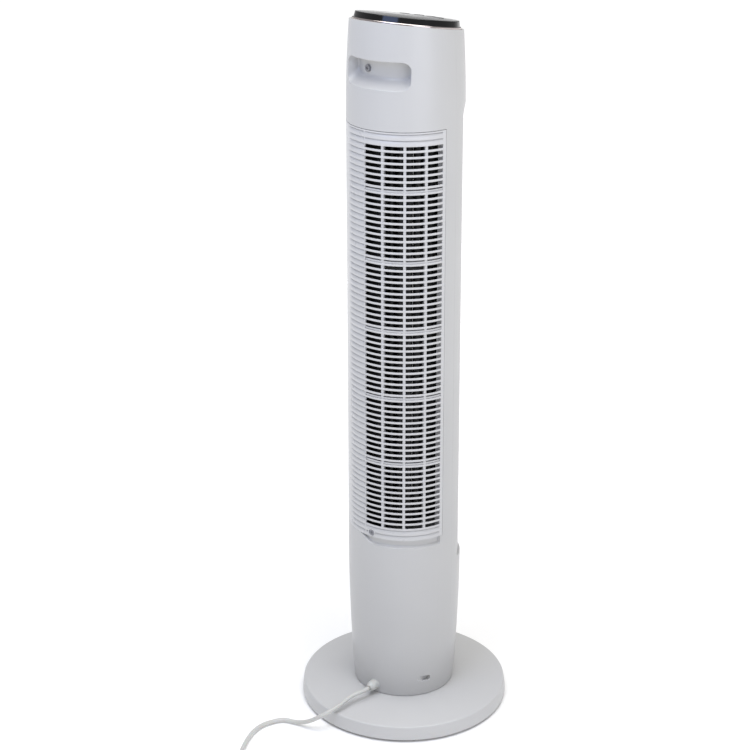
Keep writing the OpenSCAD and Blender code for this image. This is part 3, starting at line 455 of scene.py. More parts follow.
def pocket(made, frame_of, width, depth, corner, low, high):
    """Cuts a straight pocket with rounded corners into a piece, between two heights of a frame."""
    corner_x, corner_y = width / 2 - corner, depth / 2 - corner
    ring = []
    for k, (x, y) in enumerate(((1, 1), (-1, 1), (-1, -1), (1, -1))):
        for turn in range(0, 91, 15):
            t = radians(90 * k + turn)
            ring.append((x * corner_x + corner * cos(t), y * corner_y + corner * sin(t)))
    bm = bmesh.new()
    floor_ring = [bm.verts.new(frame_of @ Vector((x, y, low))) for x, y in ring]
    lid_ring = [bm.verts.new(frame_of @ Vector((x, y, high))) for x, y in ring]
    bm.faces.new(floor_ring[::-1])
    bm.faces.new(lid_ring)
    for k, point in enumerate(floor_ring):
        bm.faces.new((floor_ring[k - 1], point, lid_ring[k], lid_ring[k - 1]))
    carve(made, bm)


def rounded(*corners):
    """A profile through (radius, height, fillet) corners, each fillet drawn as an arc."""
    line = []
    for k, (r, z, fillet) in enumerate(corners):
        here = Vector((r, z))
        if not fillet or k in (0, len(corners) - 1):
            line.append(here)
            continue
        back = (Vector(corners[k - 1][:2]) - here).normalized()
        on = (Vector(corners[k + 1][:2]) - here).normalized()
        half = back.angle(on) / 2
        reach = fillet / tan(half)
        centre = here + (back + on).normalized() * fillet / sin(half)
        start, end = here + back * reach - centre, here + on * reach - centre
        turn = start.angle_signed(end)
        for n in range(ARC_STEPS + 1):
            line.append(centre + Matrix.Rotation(-turn * n / ARC_STEPS, 2) @ start)
    # where two fillets meet, their common point counts once
    return [p for k, p in enumerate(line) if k == 0 or (p - line[k - 1]).length > 0.001]


def lathe(bm, profile, segments, place=None, closed=False):
    """Turns a profile of (radius, height) points round Z of the frame place; closed joins its ends."""
    rings = []
    for r, z in profile:
        # a point on the axis is one vertex for the whole ring
        count = 1 if r < 1e-4 else segments
        ring = []
        for k in range(count):
            a = 2 * pi * k / segments
            p = Vector((r * cos(a), r * sin(a), z))
            ring.append(bm.verts.new(place @ p if place else p))
        rings.append(ring)
    pairs = list(zip(rings, rings[1:])) + ([(rings[-1], rings[0])] if closed else [])
    for low, high in pairs:
        for k in range(segments):
            corners = [low[k % len(low)], low[(k + 1) % len(low)],
                       high[(k + 1) % len(high)], high[k % len(high)]]
            unique = list(dict.fromkeys(corners))
            if len(unique) > 2:
                bm.faces.new(unique)
    bmesh.ops.recalc_face_normals(bm, faces=bm.faces)


def sheet(bm, angles, heights, place, present):
    """A curved grid of quads where present is true, seen from outside; returns its vertices by place."""
    grid = {}

    def corner(i, j):
        if (i, j) not in grid:
            grid[i, j] = bm.verts.new(place(angles[i], heights[j]))
        return grid[i, j]

    for i in range(len(angles) - 1):
        for j in range(len(heights) - 1):
            a, z = (angles[i] + angles[i + 1]) / 2, (heights[j] + heights[j + 1]) / 2
            if present(a, z):
                bm.faces.new((corner(i, j), corner(i + 1, j), corner(i + 1, j + 1), corner(i, j + 1)))
    return grid


def outline(u, v, wide, high, corner):
    """Where a point (u, v) of a square's rim, from -1 to 1, goes on a rounded rectangle."""
    beside = abs(u) >= abs(v)
    apart = high / 2 * (1 - abs(v)) if beside else wide / 2 * (1 - abs(u))
    if apart >= corner:
        return Vector((u * wide / 2, v * high / 2))
    turn = radians(45 * (1 - apart / corner))
    turn = turn if beside else pi / 2 - turn
    x = wide / 2 - corner + corner * cos(turn)
    y = high / 2 - corner + corner * sin(turn)
    return Vector((x if u > 0 else -x, y if v > 0 else -y))


def nearest(values, stop):
    """Index of the value that lies nearest to stop."""
    return min(range(len(values)), key=lambda k: abs(values[k] - stop))


def recess(bm, grid, angles, heights, window, rings, settle):
    """Sinks a pocket into the window (angle and height limits) of a sheet. Each ring gives the point for
    (u, v) on the rim; the last one is filled, and settle puts each inner point on the pocket's back."""
    (a0, a1), (z0, z1) = window
    i0, i1 = nearest(angles, a0), nearest(angles, a1)
    j0, j1 = nearest(heights, z0), nearest(heights, z1)
    m, n = i1 - i0, j1 - j0
    rim = [(i, 0) for i in range(m)] + [(m, j) for j in range(n)]
    rim += [(i, n) for i in range(m, 0, -1)] + [(0, j) for j in range(n, 0, -1)]
    spot = {(i, j): (2 * (angles[i0 + i] - a0) / (a1 - a0) - 1, 2 * (heights[j0 + j] - z0) / (z1 - z0) - 1)
            for i, j in rim}
    outer = {key: grid[i0 + key[0], j0 + key[1]] for key in rim}
    for ring in rings:
        inner = {key: bm.verts.new(ring(*spot[key])) for key in rim}
        for k, key in enumerate(rim):
            after = rim[(k + 1) % len(rim)]
            bm.faces.new((outer[key], outer[after], inner[after], inner[key]))
        outer = inner
    filled = dict(outer)
    for i in range(1, m):
        for j in range(1, n):
            s, t = i / m, j / n
            flat = ((1 - s) * outer[0, j].co + s * outer[m, j].co + (1 - t) * outer[i, 0].co
                    + t * outer[i, n].co - (1 - s) * (1 - t) * outer[0, 0].co - s * (1 - t) * outer[m, 0].co
                    - (1 - s) * t * outer[0, n].co - s * t * outer[m, n].co)
            filled[i, j] = bm.verts.new(settle(flat))
    for i in range(m):
        for j in range(n):
            bm.faces.new((filled[i, j], filled[i + 1, j], filled[i + 1, j + 1], filled[i, j + 1]))


# ---- cord: the listed route, a coil round COIL_AT, then the tail to the plug ----
CORD_R = 2.5
CORD_ROUTE = ((0, 71.6, 33.8), (0.25, 76, 33.7), (2.3, 81.4, 33.2), (5.6, 86.8, 32.1), (8.3, 93.6, 30.8),
              (10.2, 103, 29), (11.6, 113, 27), (15, 124, 24.6), (23.5, 133.5, 18.5), (37, 138, 9.5),
              (52, 139.5, 3.6), (67.7, 143.6, 3), (75.5, 152.5, 3), (81, 166, 3), (81.4, 181, 3),
              (77.5, 196.5, 3), (71.5, 211.5, 3), (64, 226.5, 3), (55.5, 241, 3), (46, 254.5, 3),
              (39, 263.7, 3))
CORD_TAIL = ((-28, 266.7, 9.5), (-38, 259.5, 8.2), (-49, 255.5, 7.8), (-61.5, 254, 8))
COIL_AT = (5, 252)
COIL_TURNS = ((33.8, 2.8), (28.5, 2.8), (23.2, 2.8), (23.2, 7.9), (28.5, 7.9), (33.8, 7.9), (28.5, 13),
              (31.5, 13))
COIL_FROM, COIL_LAST = 34, 88
TURN_POINTS = 12
# share of a turn after which the cord climbs, then the share after which it steps sideways
CLIMB_AT, STEP_AT, STEP_SHARE = 0.66, 0.83, 0.17


def coil():
    """Centreline of the coil: three turns inwards on the floor, three back out on top, one above."""
    line = []
    count = round(TURN_POINTS * (len(COIL_TURNS) - 2 + COIL_LAST / 360)) + 1
    for k in range(count):
        turn, part = divmod(k / TURN_POINTS, 1)
        (r0, z0), (r1, z1) = COIL_TURNS[int(turn)], COIL_TURNS[min(int(turn) + 1, len(COIL_TURNS) - 1)]
        r = r0 + (r1 - r0) * smooth((part - STEP_AT) / STEP_SHARE)
        z = z0 + (z1 - z0) * smooth((part - CLIMB_AT) / STEP_SHARE)
        a = radians(COIL_FROM + 360 * k / TURN_POINTS)
        line.append(Vector((COIL_AT[0] + r * cos(a), COIL_AT[1] + r * sin(a), z)))
    return line


def spline(points, steps):
    """A smooth curve through the points."""
    line = []
    for k in range(len(points) - 1):
        a, b = points[max(k - 1, 0)], points[k]
        c, d = points[k + 1], points[min(k + 2, len(points) - 1)]
        for n in range(steps):
            t = n / steps
            line.append(0.5 * (2 * b + (c - a) * t + (2 * a - 5 * b + 4 * c - d) * t * t
                               + (3 * b - a - 3 * c + d) * t * t * t))
    return line + [points[-1]]


def tube(bm, line, radius, sides):
    """A round tube along a line, closed at both ends, without twist."""
    side, rings = None, []
    for k, here in enumerate(line):
        heading = (line[min(k + 1, len(line) - 1)] - line[max(k - 1, 0)]).normalized()
        side = heading.orthogonal() if side is None else side - heading * side.dot(heading)
        side.normalize()
        over = heading.cross(side)
        ring = []
        for n in range(sides):
            t = 2 * pi * n / sides
            ring.append(bm.verts.new(here + radius * (cos(t) * side + sin(t) * over)))
        rings.append(ring)
    for low, high in zip(rings, rings[1:]):
        for n in range(sides):
            bm.faces.new((low[n], low[(n + 1) % sides], high[(n + 1) % sides], high[n]))
    bm.faces.new(rings[0][::-1])
    bm.faces.new(rings[-1])


def make_cord():
    """The power cord: one tube along the route, round the coil and on to the plug."""
    points = [Vector(p) for p in CORD_ROUTE] + coil() + [Vector(p) for p in CORD_TAIL]
    line, sides = spline(points, 3), 14
    bm = bmesh.new()
    tube(bm, line, CORD_R, sides)
    cord = piece("cord", bm, CORD, weigh=False)
    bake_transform(cord)
    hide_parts("power_cord", "cord_coil")


make_cord()


# ---- base ----
def make_base():
    """The base cover: a bevelled rim and a nearly flat top, turned in one piece with its inside."""
    outside = rounded((BASE_R - BASE_WALL, FOOT_H, 0), (BASE_R, FOOT_H, 0.6), (BASE_R - 0.4, FOOT_H + 7, 60),
                      (BASE_R - 1.6, RIM_Z, 2.2), (FOOT_R + 4, BASE_TOP, 30), (POST_HOLE_R, BASE_TOP, 0))
    inside = [(POST_HOLE_R, BASE_TOP - BASE_WALL), (FOOT_R, BASE_TOP - BASE_WALL),
              (BASE_R - 5, RIM_Z - BASE_WALL), (BASE_R - BASE_WALL, RIM_Z - 6)]
    bm = bmesh.new()
    lathe(bm, outside + inside, ROUND, closed=True)
    mount(piece("base_shell", bm, BASE_ABS), "base", "base_plastic", "base_cover")


make_base()


# ---- column ----
def make_gland():
    """Moulded strain relief: a collar at the shell, then a ball that the cord comes out of."""
    face, bore, neck = column_r(GLAND_Z), 2.6, 4.4
    profile = rounded((bore, face + 2, 0), (bore, face + GLAND_OUT, 0.2), (3.3, face + GLAND_OUT, 0.4),
                      (3.6, face + 10.4, 1), (5.6, face + 7.6, 2.5), (5.9, face + 3.4, 2),
                      (5.1, face + 1, 0.5), (6.3, face + 0.8, 0.3), (6.3, face - 0.6, 0.3),
                      (neck, face - 0.7, 0.2), (neck, face - 8, 0.2), (bore, face - 8, 0))
    bm = bmesh.new()
    outwards = Matrix.Translation((0, 0, GLAND_Z)) @ Matrix.Rotation(-pi / 2, 4, "X")
    lathe(bm, profile, SMALL_ROUND, outwards, closed=True)
    mount(piece("gland", bm, CORD), "column", "white_plastic", "strain_relief")


# the rear shell's rows: straight between FOOT_ROW and TOP_ROW, and leaning to the mouth above
TOP_ROW, FOOT_ROW = 773.5, 196
HANDLE_WINDOW = ((-47, 47), (727, TOP_ROW))
OVAL_ANGLE, OVAL_Z, OVAL_W, OVAL_H, OVAL_SLANT = 58, 45, 16, 6.2, -5
OVAL_WINDOW = ((OVAL_ANGLE - 11, OVAL_ANGLE + 11), (37, 53))


def band_low(angle):
    """Lower edge of the stepped band under the grille, rising to nothing at its left end."""
    return GRILLE_LOW - (GRILLE_LOW - LIP_LOW) * smooth((angle - LIP_FROM) / LIP_RISE)


def rear_point(angle, z):
    """A point of the rear shell: its top rows lean to the mouth, and the band under the grille is sunk."""
    depth = 0
    if z > TOP_ROW:
        z = TOP_ROW + (lip_z(angle) - TOP_ROW) * (z - TOP_ROW) / (COLUMN_TOP - TOP_ROW)
    elif LIP_FROM <= angle <= LIP_TO and FOOT_ROW < z <= GRILLE_LOW:
        low = band_low(angle)
        if z <= LIP_LOW:
            z = FOOT_ROW + (low - FOOT_ROW) * (z - FOOT_ROW) / (LIP_LOW - FOOT_ROW)
        else:
            part = (z - LIP_LOW) / (GRILLE_LOW - LIP_LOW)
            ends = min((angle - LIP_FROM) / LIP_SOFT_LEFT, (LIP_TO - angle) / LIP_SOFT_RIGHT)
            depth = LIP_DEPTH * smooth(part * 3.6) * smooth(ends)
            z = low + (GRILLE_LOW - low) * part
    return on_wall(angle, z, depth)


def handle_rings():
    """Rings from the window's rim over the rounded mouth down to the back of the handle recess."""
    middle, high = (HANDLE_LOW + HANDLE_HIGH) / 2, HANDLE_HIGH - HANDLE_LOW
    (_, a1), (z0, z1) = HANDLE_WINDOW

    def opening(u, v, grow):
        return outline(u, v, HANDLE_W + 2 * grow, high + 2 * grow, MOUTH_CORNER + grow)

    def spread(share):
        """From the window's rim, share of the way to the mouth's outer edge."""
        def ring(u, v):
            p = opening(u, v, MOUTH_FILLET)
            z_in = middle + p.y
            a_in = degrees(asin(p.x / column_r(z_in)))
            a_out, z_out = u * a1, z0 + (z1 - z0) * (v + 1) / 2
            return on_wall(a_out + (a_in - a_out) * share, z_out + (z_in - z_out) * share)
        return ring

    def mouth(u, v, grow, depth):
        p = opening(u, v, grow)
        z = middle + p.y
        y = sqrt(column_r(z) ** 2 - p.x ** 2) - depth
        return Vector((-p.x, y, z))

    def over(turn):
        """Round the mouth's fillet."""
        t = radians(turn)
        return lambda u, v: mouth(u, v, MOUTH_FILLET * (1 - sin(t)), MOUTH_FILLET * (1 - cos(t)))

    def back(u, v, inset):
        p = outline(u, v, BACK_W - 2 * inset, BACK_HIGH - BACK_LOW - 2 * inset, BACK_CORNER - inset)
        return Vector((-p.x, sqrt(HANDLE_R ** 2 - p.x ** 2), (BACK_LOW + BACK_HIGH) / 2 + p.y))

    def wall(share):
        """Down the wall of the recess."""
        return lambda u, v: mouth(u, v, 0, MOUTH_FILLET).lerp(back(u, v, 0), share)

    def turn_in(turn):
        """Round the fillet at the back."""
        t = radians(turn)

        def ring(u, v):
            near = mouth(u, v, 0, MOUTH_FILLET)
            far, inner = back(u, v, 0), back(u, v, BACK_FILLET)
            short = far + (near - far).normalized() * BACK_FILLET
            return short + (far - short) * sin(t) + (inner - far) * (1 - cos(t))
        return ring

    return ([spread(share) for share in (0.35, 0.7, 1)] + [over(turn) for turn in (22, 45, 68, 90)]
            + [wall(share) for share in (0.05, 0.4, 0.8)] + [turn_in(turn) for turn in (0, 30, 60, 90)])


def handle_back(p):
    """Moves a point onto the curved back of the handle recess."""
    p.y = sqrt(HANDLE_R ** 2 - p.x ** 2)
    return p


def oval_rings():
    """Rings of the slanted oval hole near the foot: shallow at its left end and deep at its right."""
    (a0, a1), (z0, z1) = OVAL_WINDOW

    def at(u, v, grow, depth):
        p = outline(u, v, OVAL_W + 2 * grow, OVAL_H + 2 * grow, OVAL_H / 2 + grow - 0.05)
        p = Matrix.Rotation(radians(OVAL_SLANT), 2) @ p
        z = OVAL_Z + p.y
        return on_wall(OVAL_ANGLE + degrees(p.x / column_r(z)), z, depth)

    def spread(share):
        def ring(u, v):
            p = at(u, v, 0.7, 0)
            angle = degrees(atan2(-p.x, p.y))
            a_out, z_out = a0 + (a1 - a0) * (u + 1) / 2, z0 + (z1 - z0) * (v + 1) / 2
            return on_wall(a_out + (angle - a_out) * share, z_out + (p.z - z_out) * share)
        return ring

    def deep(u):
        return 0.9 + 4.6 * smooth((u + 0.75) / 1.5)

    return [spread(0.5), spread(1), lambda u, v: at(u, v, 0.2, 0.2), lambda u, v: at(u, v, 0, 0.7),
            lambda u, v: at(u, v, -0.1, max(0.8, deep(u) - 0.5)), lambda u, v: at(u, v, -0.6, deep(u))]


def make_rear_shell():
    """Rear half of the case, with the grille's opening, the handle recess and the oval hole."""
    (left, right), (sill, _) = HANDLE_WINDOW
    (_, oval_right), (oval_low, oval_high) = OVAL_WINDOW
    # finer steps at the recess's ends, at the gland, at the oval hole and at the ends of the sunk band
    angles = ladder((-SEAM + SEAM_GAP, 3), (-GRILLE_HALF, 3), (left, 1.55), (-33, 3), (-10, 1.6), (10, 3),
                    (33, 1.55), (right, 1.1), (oval_right, 2.5), (LIP_TO - 0.8, 0.4), (LIP_TO, 1.5),
                    (GRILLE_HALF, 3), (SEAM - SEAM_GAP, 3))
    heights = ladder((FOOT_Z, 4.5), (oval_low, 1), (oval_high, 11), (FOOT_ROW, 5.3), (LIP_LOW, 0.8),
                     (220, 2.2), (GRILLE_LOW, 14), (GRILLE_HIGH, 8.5), (sill, 2.1), (TOP_ROW, 4),
                     (COLUMN_TOP, 4))

    def present(a, z):
        grille = abs(a) < GRILLE_HALF and GRILLE_LOW < z < GRILLE_HIGH
        inside = [a0 < a < a1 and z0 < z < z1 for (a0, a1), (z0, z1) in (HANDLE_WINDOW, OVAL_WINDOW)]
        return not (grille or any(inside))

    bm = bmesh.new()
    grid = sheet(bm, angles, heights, rear_point, present)
    recess(bm, grid, angles, heights, HANDLE_WINDOW, handle_rings(), handle_back)
    recess(bm, grid, angles, heights, OVAL_WINDOW, oval_rings(), lambda p: p)
    shell = piece("rear_housing", bm, ABS, wall=WALL, edge=0.1)
    inwards = polar(1, HANDLE_SCREW_ANGLE, 0)
    drill(shell, polar(HANDLE_R, HANDLE_SCREW_ANGLE, HANDLE_SCREW_Z), inwards, radius=3.7, depth=8)
    drill(shell, polar(column_r(GLAND_Z), 0, GLAND_Z), Vector((0, 1, 0)), GLAND_HOLE_R, depth=9)
    mount(shell, "column", "white_plastic", "rear_shell")


# a slat's rounded edge: distance from the slot's middle and depth under the face
SLAT_EDGE = ((SLOT_GAP / 2, 0.35), (SLOT_GAP / 2 + 0.15, 0.1), (SLOT_GAP / 2 + 0.45, 0))
# steps inside a row: RAMP wide at both rims, SHOULDER below the upper one; the uprights' depth
RAMP, SHOULDER, BAR_SUNK = 0.25, 1.3, 0.95
# a blind groove, deepest at its top: upper end of each step, from the groove's middle, and its depth
LOUVRE = ((SLOT_GAP / 2 - SHOULDER - 0.1, 0.1), (SLOT_GAP / 2 - RAMP - 0.1, 0.75), (SLOT_GAP, 2.1))
# two blind rows under the slots and two above, and the angles over which the grooves fade in
FIRST_ROW, LAST_ROW = -2, SLOT_ROWS + 1
GROOVE_FROM, GROOVE_SOFT = -36, 8


def row_z(i):
    """Height of the middle of row i; rows below 0 and from SLOT_ROWS on are blind."""
    return SLOT_FIRST + i * SLOT_PITCH


def grille_point(a, z):
    """A point of the intake grille: sunk uprights in the slots, grooves where the rows are blind."""
    i = max(FIRST_ROW, min(LAST_ROW, round((z - SLOT_FIRST) / SLOT_PITCH)))
    off = z - row_z(i)
    inside = abs(off) < SLOT_GAP / 2 - 0.1
    rim = next((deep for reach, deep in SLAT_EDGE if abs(abs(off) - reach) < 0.01), 0)
    if inside:
        groove = next(deep for reach, deep in LOUVRE if off < reach)
    else:
        groove = rim if off > 0 else 0
    depth = 0
    if a < SLOT_FROM - 0.7:
        depth = groove * smooth((a - GROOVE_FROM) / GROOVE_SOFT)
    elif SLOT_FROM + 0.2 < a < SLOT_TO - 0.2:
        if not 0 <= i < SLOT_ROWS:
            depth = groove
        else:
            depth = BAR_SUNK if inside else rim
    return on_wall(a, z, depth)


def grille_present(a, z):
    """False in the slots, between the uprights."""
    i = round((z - SLOT_FIRST) / SLOT_PITCH)
    if not 0 <= i < SLOT_ROWS or abs(z - row_z(i)) > SLOT_GAP / 2 or not SLOT_FROM < a < SLOT_TO:
        return True
    return any(abs(a - bar) < BAR_HALF for bar in BARS)


def make_grille():
    """The intake grille: rounded slats over sunk uprights, with shallow louvres to their left."""
    half = GRILLE_HALF - 0.4
    bars = [a + s * BAR_HALF for a in BARS for s in (-1, 1)]
    angles = ladder((-half, 3.2), (-38, 2), (SLOT_FROM - 0.9, 0.3), (SLOT_FROM - 0.6, 0.6), (SLOT_FROM, 0.4),
                    (SLOT_FROM + 0.4, 4.6), *zip(bars, (2.7, 4.7) * 3), (SLOT_TO - 0.4, 0.4), (SLOT_TO, 2),
                    (half, 2))
    offsets = [-reach for reach, _ in reversed(SLAT_EDGE)]
    offsets += [RAMP - SLOT_GAP / 2, SLOT_GAP / 2 - SHOULDER, SLOT_GAP / 2 - RAMP]
    offsets += [reach for reach, _ in SLAT_EDGE]
    heights = [GRILLE_LOW + 0.15]
    for i in range(FIRST_ROW, LAST_ROW + 1):
        heights += [row_z(i) + off for off in offsets]
    heights.append(GRILLE_HIGH - GRILLE_GAP)
    bm = bmesh.new()
    sheet(bm, angles, heights, grille_point, grille_present)
    grille = piece("intake_grille", bm, GRILLE_ABS, wall=GRILLE_T)
    face = column_r(FOOT_SCREW_Z)
    drill(grille, Vector((0, face - 0.5, FOOT_SCREW_Z)), Vector((0, 1, 0)), radius=4, depth=1)
    mount(grille, "column", "white_plastic", "rear_grille")


def make_screw_seat():
    """The raised ring round the screw at the grille's foot."""
    face, inner, outer = column_r(FOOT_SCREW_Z), 3.7, 4.8
    profile = rounded((inner, face - 1.4, 0), (inner, face + 0.4, 0.3), (outer, face + 0.4, 0.4),
                      (outer, face - 1.4, 0))
    bm = bmesh.new()
    seat = Matrix.Translation((0, 0, FOOT_SCREW_Z)) @ Matrix.Rotation(-pi / 2, 4, "X")
    lathe(bm, profile, SMALL_ROUND, seat, closed=True)
    ring = piece("screw_seat", bm, GRILLE_ABS)
    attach(ring, "column")


def block(bm, a0, a1, z0, z1, near, deep):
    """A closed curved bar behind the wall between two angles, two heights and two depths."""
    facet = 4
    count = max(1, round((a1 - a0) / facet))
    rings = []
    for k in range(count + 1):
        a = a0 + (a1 - a0) * k / count
        corners = ((z0, near), (z1, near), (z1, deep), (z0, deep))
        rings.append([bm.verts.new(on_wall(a, z, depth)) for z, depth in corners])
    for one, two in zip(rings, rings[1:]):
        for n in range(4):
            bm.faces.new((one[n], two[n], two[(n + 1) % 4], one[(n + 1) % 4]))
    bm.faces.new(rings[0][::-1])
    bm.faces.new(rings[-1])
    bmesh.ops.recalc_face_normals(bm, faces=bm.faces)


def make_grille_ribs():
    """Ribs behind the intake grille: one on each upright, one at the right end, and a web every few rows."""
    rib, end_rib, rib_deep, web_deep, behind = 0.85, 1.2, 6.5, 8.5, GRILLE_T - 0.4
    bm = bmesh.new()
    top, bottom = row_z(SLOT_ROWS), row_z(-1)
    for a in BARS:
        block(bm, a - rib, a + rib, bottom, top, behind, rib_deep)
    block(bm, SLOT_TO, SLOT_TO + end_rib, bottom, top, behind, web_deep)
    for i in range(WEB_EVERY, SLOT_ROWS, WEB_EVERY):
        z = row_z(i) - SLOT_GAP / 2
        block(bm, SLOT_FROM, SLOT_TO + 1, z - 0.3, z + SLOT_GAP * 0.55, near=1.1, deep=web_deep)
    ribs = piece("grille_ribs", bm, GRILLE_ABS, edge=0.2)
    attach(ribs, "column")


# the front shell leans to the mouth above LEAN_Z, and slopes in to the outlet below SLOPE_Z
LEAN_Z, SLOPE_Z = 740, 712


def front_point(angle, z):
    """A point of the front shell; above the outlet it slopes in to the front grille."""
    if z > LEAN_Z:
        z = LEAN_Z + (lip_z(angle) - LEAN_Z) * (z - LEAN_Z) / (COLUMN_TOP - LEAN_Z)
    depth = 0
    if OUTLET_FROM + 0.2 < angle < OUTLET_TO - 0.2 and OUTLET_HIGH - 1 < z < SLOPE_Z:
        depth = LIP_DEPTH * min(1, (SLOPE_Z - z) / (SLOPE_Z - OUTLET_HIGH))
    return on_wall(angle, z, depth)


def make_front_shell():
    """Front half of the case, open for the outlet."""
    angles = ladder((SEAM + SEAM_GAP, 3), (OUTLET_FROM, 0.4), (OUTLET_FROM + 0.4, 3), (OUTLET_TO - 0.4, 0.4),
                    (OUTLET_TO, 3), (360 - SEAM - SEAM_GAP, 3))
    heights = ladder((FOOT_Z, 11), (OUTLET_LOW - 2, 14), (OUTLET_HIGH, 4), (SLOPE_Z, 0.8), (SLOPE_Z + 1, 9),
                     (LEAN_Z, 7), (COLUMN_TOP, 5))
    bm = bmesh.new()
    sheet(bm, angles, heights, front_point,
          lambda a, z: not (OUTLET_FROM < a < OUTLET_TO and OUTLET_LOW - 2 < z < OUTLET_HIGH))
    mount(piece("front_housing", bm, ABS, wall=WALL, edge=0.1), "column", "white_plastic", "front_shell")


VANE_FIRST, VANE_PITCH, VANE_GAP, VANE_ROWS = OUTLET_LOW + 9, 10, 7, 49
VANE_FROM, VANE_STEP, VANE_BAR, VANE_COLUMNS = 133, 19.2, 2, 5


def vane_z(i):
    """Height of the middle of the outlet's slot row i."""
    return VANE_FIRST + i * VANE_PITCH


def outlet_present(a, z):
    """False in the outlet's slots."""
    i = round((z - VANE_FIRST) / VANE_PITCH)
    k = (a - VANE_FROM) // VANE_STEP
    slot = 0 <= i < VANE_ROWS and abs(z - vane_z(i)) < VANE_GAP / 2
    return not (slot and 0 <= k < VANE_COLUMNS and (a - VANE_FROM) % VANE_STEP < VANE_STEP - VANE_BAR)


def make_outlet():
    """The outlet grille: five columns of slots between uprights."""
    columns = []
    for k in range(VANE_COLUMNS):
        columns += [(VANE_FROM + VANE_STEP * k, 4.3), (VANE_FROM + VANE_STEP * (k + 1) - VANE_BAR, 2)]
    angles = ladder((OUTLET_FROM - 3, 4), *columns, (OUTLET_TO + 3, 4))
    heights = [OUTLET_LOW - 6]
    for i in range(VANE_ROWS):
        heights += [vane_z(i) - VANE_GAP / 2, vane_z(i) + VANE_GAP / 2]
    heights.append(OUTLET_HIGH + 0.8)
    bm = bmesh.new()
    sheet(bm, angles, heights, lambda a, z: on_wall(a, z, WALL + 0.2), outlet_present)
    outlet = piece("outlet_grille", bm, GRILLE_ABS, wall=2.4, edge=0.4)
    mount(outlet, "column", "white_plastic", "front_grille")


# ---- control panel, in the frame of the sloping mouth ----
REAR_REACH = column_r(COLUMN_TOP + NECK_R * tan(radians(TILT))) / cos(radians(TILT))
FRONT_REACH = column_r(COLUMN_TOP - NECK_R * tan(radians(TILT))) / cos(radians(TILT))
RING_R, RING_W = column_r(COLUMN_TOP) - WALL - 0.3, 1.2
CAP_R = RING_R - RING_W - 0.1
CAP_TOP_R = CAP_R - 2
ON_TOP = (Matrix.Translation((0, 0, COLUMN_TOP)) @ Matrix.Rotation(radians(TILT), 4, "X")
          @ Matrix.Translation((0, (REAR_REACH - FRONT_REACH) / 2, 0)))


def dome(r):
    """Height of the cap's domed top at this radius."""
    return CAP_H - DOME_H * (r / CAP_TOP_R) ** 2


def key_frame(angle):
    """Frame on the panel in which a key at this angle has its axis at BUTTON_RING along Y."""
    return ON_TOP @ Matrix.Rotation(radians(180 + angle), 4, "Z")


def make_trim():
    """The bright ring between the case's mouth and the cap, its outer top edge rounded."""
    inner, low, high = RING_R - RING_W, -3, 2
    profile = rounded((inner, low, 0), (RING_R, low, 0), (RING_R, high, 1.1), (inner, high, 0.1),
                      (inner, low + 0.1, 0))
    bm = bmesh.new()
    lathe(bm, profile, ROUND, ON_TOP, closed=True)
    mount(piece("trim_band", bm, CHROME), "column", "chrome_ring", "trim_ring")


def make_cap():
    """The gloss black cap, with a hole for each key and a pocket for the display window."""
    profile = rounded((CAP_R, -6, 0), (CAP_R, 0, 0.6), (CAP_TOP_R + 0.5, dome(CAP_TOP_R), 0.9),
                      (CAP_TOP_R - 4, dome(CAP_TOP_R - 4), 0))
    radii = [CAP_TOP_R * k / 12 for k in range(10, -1, -1)]
    profile += [(r, dome(r)) for r in radii]
    bm = bmesh.new()
    lathe(bm, profile, ROUND, ON_TOP)
    cap = piece("control_cap", bm, BLACK, wall=2)
    for angle in BUTTON_ANGLES:
        key = key_frame(angle) @ Vector((0, BUTTON_RING, CAP_H))
        drill(cap, key, ON_TOP.to_3x3() @ Vector((0, 0, 1)), BUTTON_R + 0.3, depth=6)
    pocket(cap, ON_TOP @ Matrix.Translation((0, WINDOW_Y, 0)), WINDOW_W + 0.4, WINDOW_D + 0.4,
           WINDOW_CORNER, low=CAP_H - 1.7, high=CAP_H + 2)
    mount(cap, "column", "black_gloss", "top_panel")


def make_keys():
    """The four keys, slightly dished, each with a flange that keeps it under the cap."""
    flange_r, flange_low, flange_high = BUTTON_R + 1.2, 5, 5.9
    profile = rounded((0, flange_low, 0), (flange_r, flange_low, 0.2), (flange_r, flange_high, 0.2),
                      (BUTTON_R, flange_high, 0.1), (BUTTON_R, CAP_H - 0.1, 0.3),
                      (BUTTON_R - 2, CAP_H - 0.2, 2), (0, CAP_H - 0.3, 0))
    for name, angle in zip(("power", "speed", "timer", "swing"), BUTTON_ANGLES):
        bm = bmesh.new()
        lathe(bm, profile, KEY_ROUND, key_frame(angle) @ Matrix.Translation((0, BUTTON_RING, 0)))
        mount(piece(name + "_key", bm, KEY), name + "_key", "dark_plastic", name + "_button")


make_gland()
make_rear_shell()
make_grille()
make_screw_seat()
make_grille_ribs()
make_front_shell()
make_outlet()
make_trim()
make_cap()
make_keys()

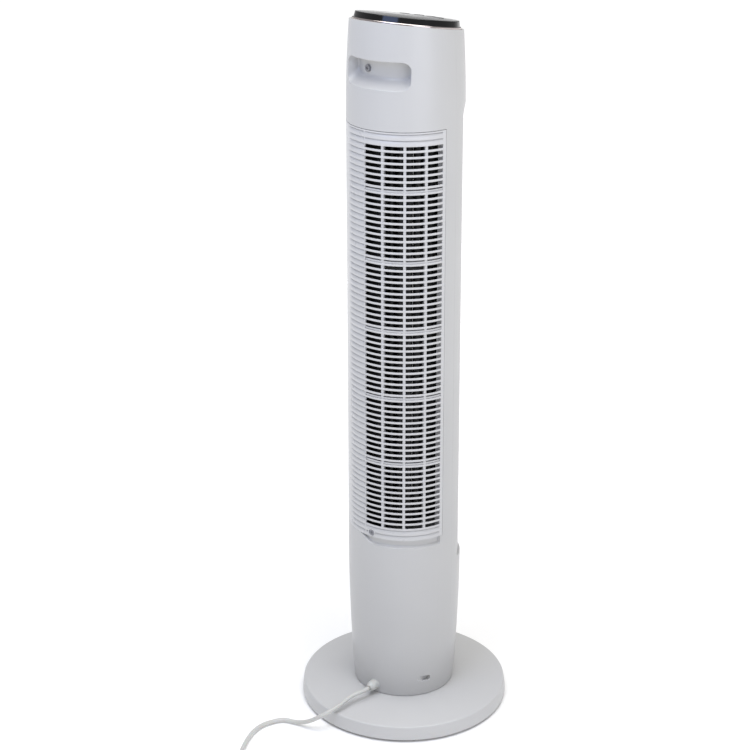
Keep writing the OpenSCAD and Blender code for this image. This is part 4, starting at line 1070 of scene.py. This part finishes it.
# ---- CAD parts that keep their shape ----
CARRIED = (
    (SMOKED, ("display_window",)),
    (RUBBER, ("rubber_feet",)),
    (ZINC, ("base_screws", "pivot_screws", "retaining_bolt", "retaining_washer", "floor_screws",
            "handle_screw", "grille_screw", "board_screws", "tray_screws", "bracket_screws",
            "motor_bolts", "swing_motor_screws", "plug_pins")),
    (STEEL, ("ballast_plate", "pivot_post", "motor_core", "motor_shields", "motor_shaft", "rotor_core",
             "impeller_hub", "swing_motor")),
    (BRONZE, ("motor_bushes", "top_bush")),
    (COPPER, ("motor_windings",)),
    (POM, ("thrust_ring", "swing_gear", "swing_pinion", "terminal_block")),
    (BOARD, ("control_board",)),
    # inner parts in charcoal ABS: partly their own colour, partly painted shade so that the slots read black
    (CHARCOAL_AND_SHADE, ("base_bottom", "column_floor", "motor_tray", "upper_bracket", "scroll_wall", "tongue_wall",
            "impeller", "bearing_mount", "run_capacitor", "tact_switches", "display_module", "cord_tie")),
    (CORD, ("plug_body",)),
    (LEAD, ("wire_harness", "inner_lead")),
)


def dress_cad():
    """Gives each CAD part that still shows its finish."""
    for material, names in CARRIED:
        for name in names:
            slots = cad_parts[name].material_slots
            if not slots:
                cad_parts[name].data.materials.append(material)
            for slot in slots:
                slot.material = material


dress_cad()


# ---- studio ----
def make_floor():
    """A sheet of pale paper, 28 m wide, that the fan stands on."""
    bm = bmesh.new()
    bmesh.ops.create_grid(bm, x_segments=2, y_segments=2, size=14)
    mesh = bpy.data.meshes.new("floor")
    bm.to_mesh(mesh)
    bm.free()
    mesh.materials.append(PAPER)
    floor = bpy.data.objects.new("floor", mesh)
    bpy.context.scene.collection.objects.link(floor)


def softbox(name, azimuth, far, high, aim_z, size, power, colour):
    """A square soft light at this azimuth, aimed at the column's axis at height aim_z, in metres and W."""
    data = bpy.data.lights.new(name, "AREA")
    data.shape, data.size, data.energy = "SQUARE", size, power
    data.color = linear(colour)[:3]
    lamp = bpy.data.objects.new(name, data)
    lamp.location = (far * sin(radians(azimuth)), -far * cos(radians(azimuth)), high)
    aim = Vector((0, 0, aim_z)) - lamp.location
    lamp.rotation_mode = "QUATERNION"
    lamp.rotation_quaternion = aim.to_track_quat("-Z", "Y")
    bpy.context.scene.collection.objects.link(lamp)


def light_studio():
    """A pale surround, a cool glint from the left, a weak light from the right, a wide one above."""
    world = bpy.data.worlds.new("studio")
    world.use_nodes = True
    sky = world.node_tree.nodes["Background"]
    sky.inputs["Color"].default_value = linear("#FDFDFF")
    sky.inputs["Strength"].default_value = 0.35
    bpy.context.scene.world = world
    bpy.context.scene.view_settings.view_transform = "Standard"
    softbox("glint", 178, far=0.9, high=1.45, aim_z=0.87, size=0.65, power=3.2, colour="#A8C2FF")
    softbox("side", 246, far=1.1, high=0.8, aim_z=0.9, size=0.7, power=2.4, colour="#F0F3FF")
    softbox("top", 215, far=0.3, high=2.4, aim_z=0, size=2.2, power=52, colour="#FFFEFB")


make_floor()
light_studio()
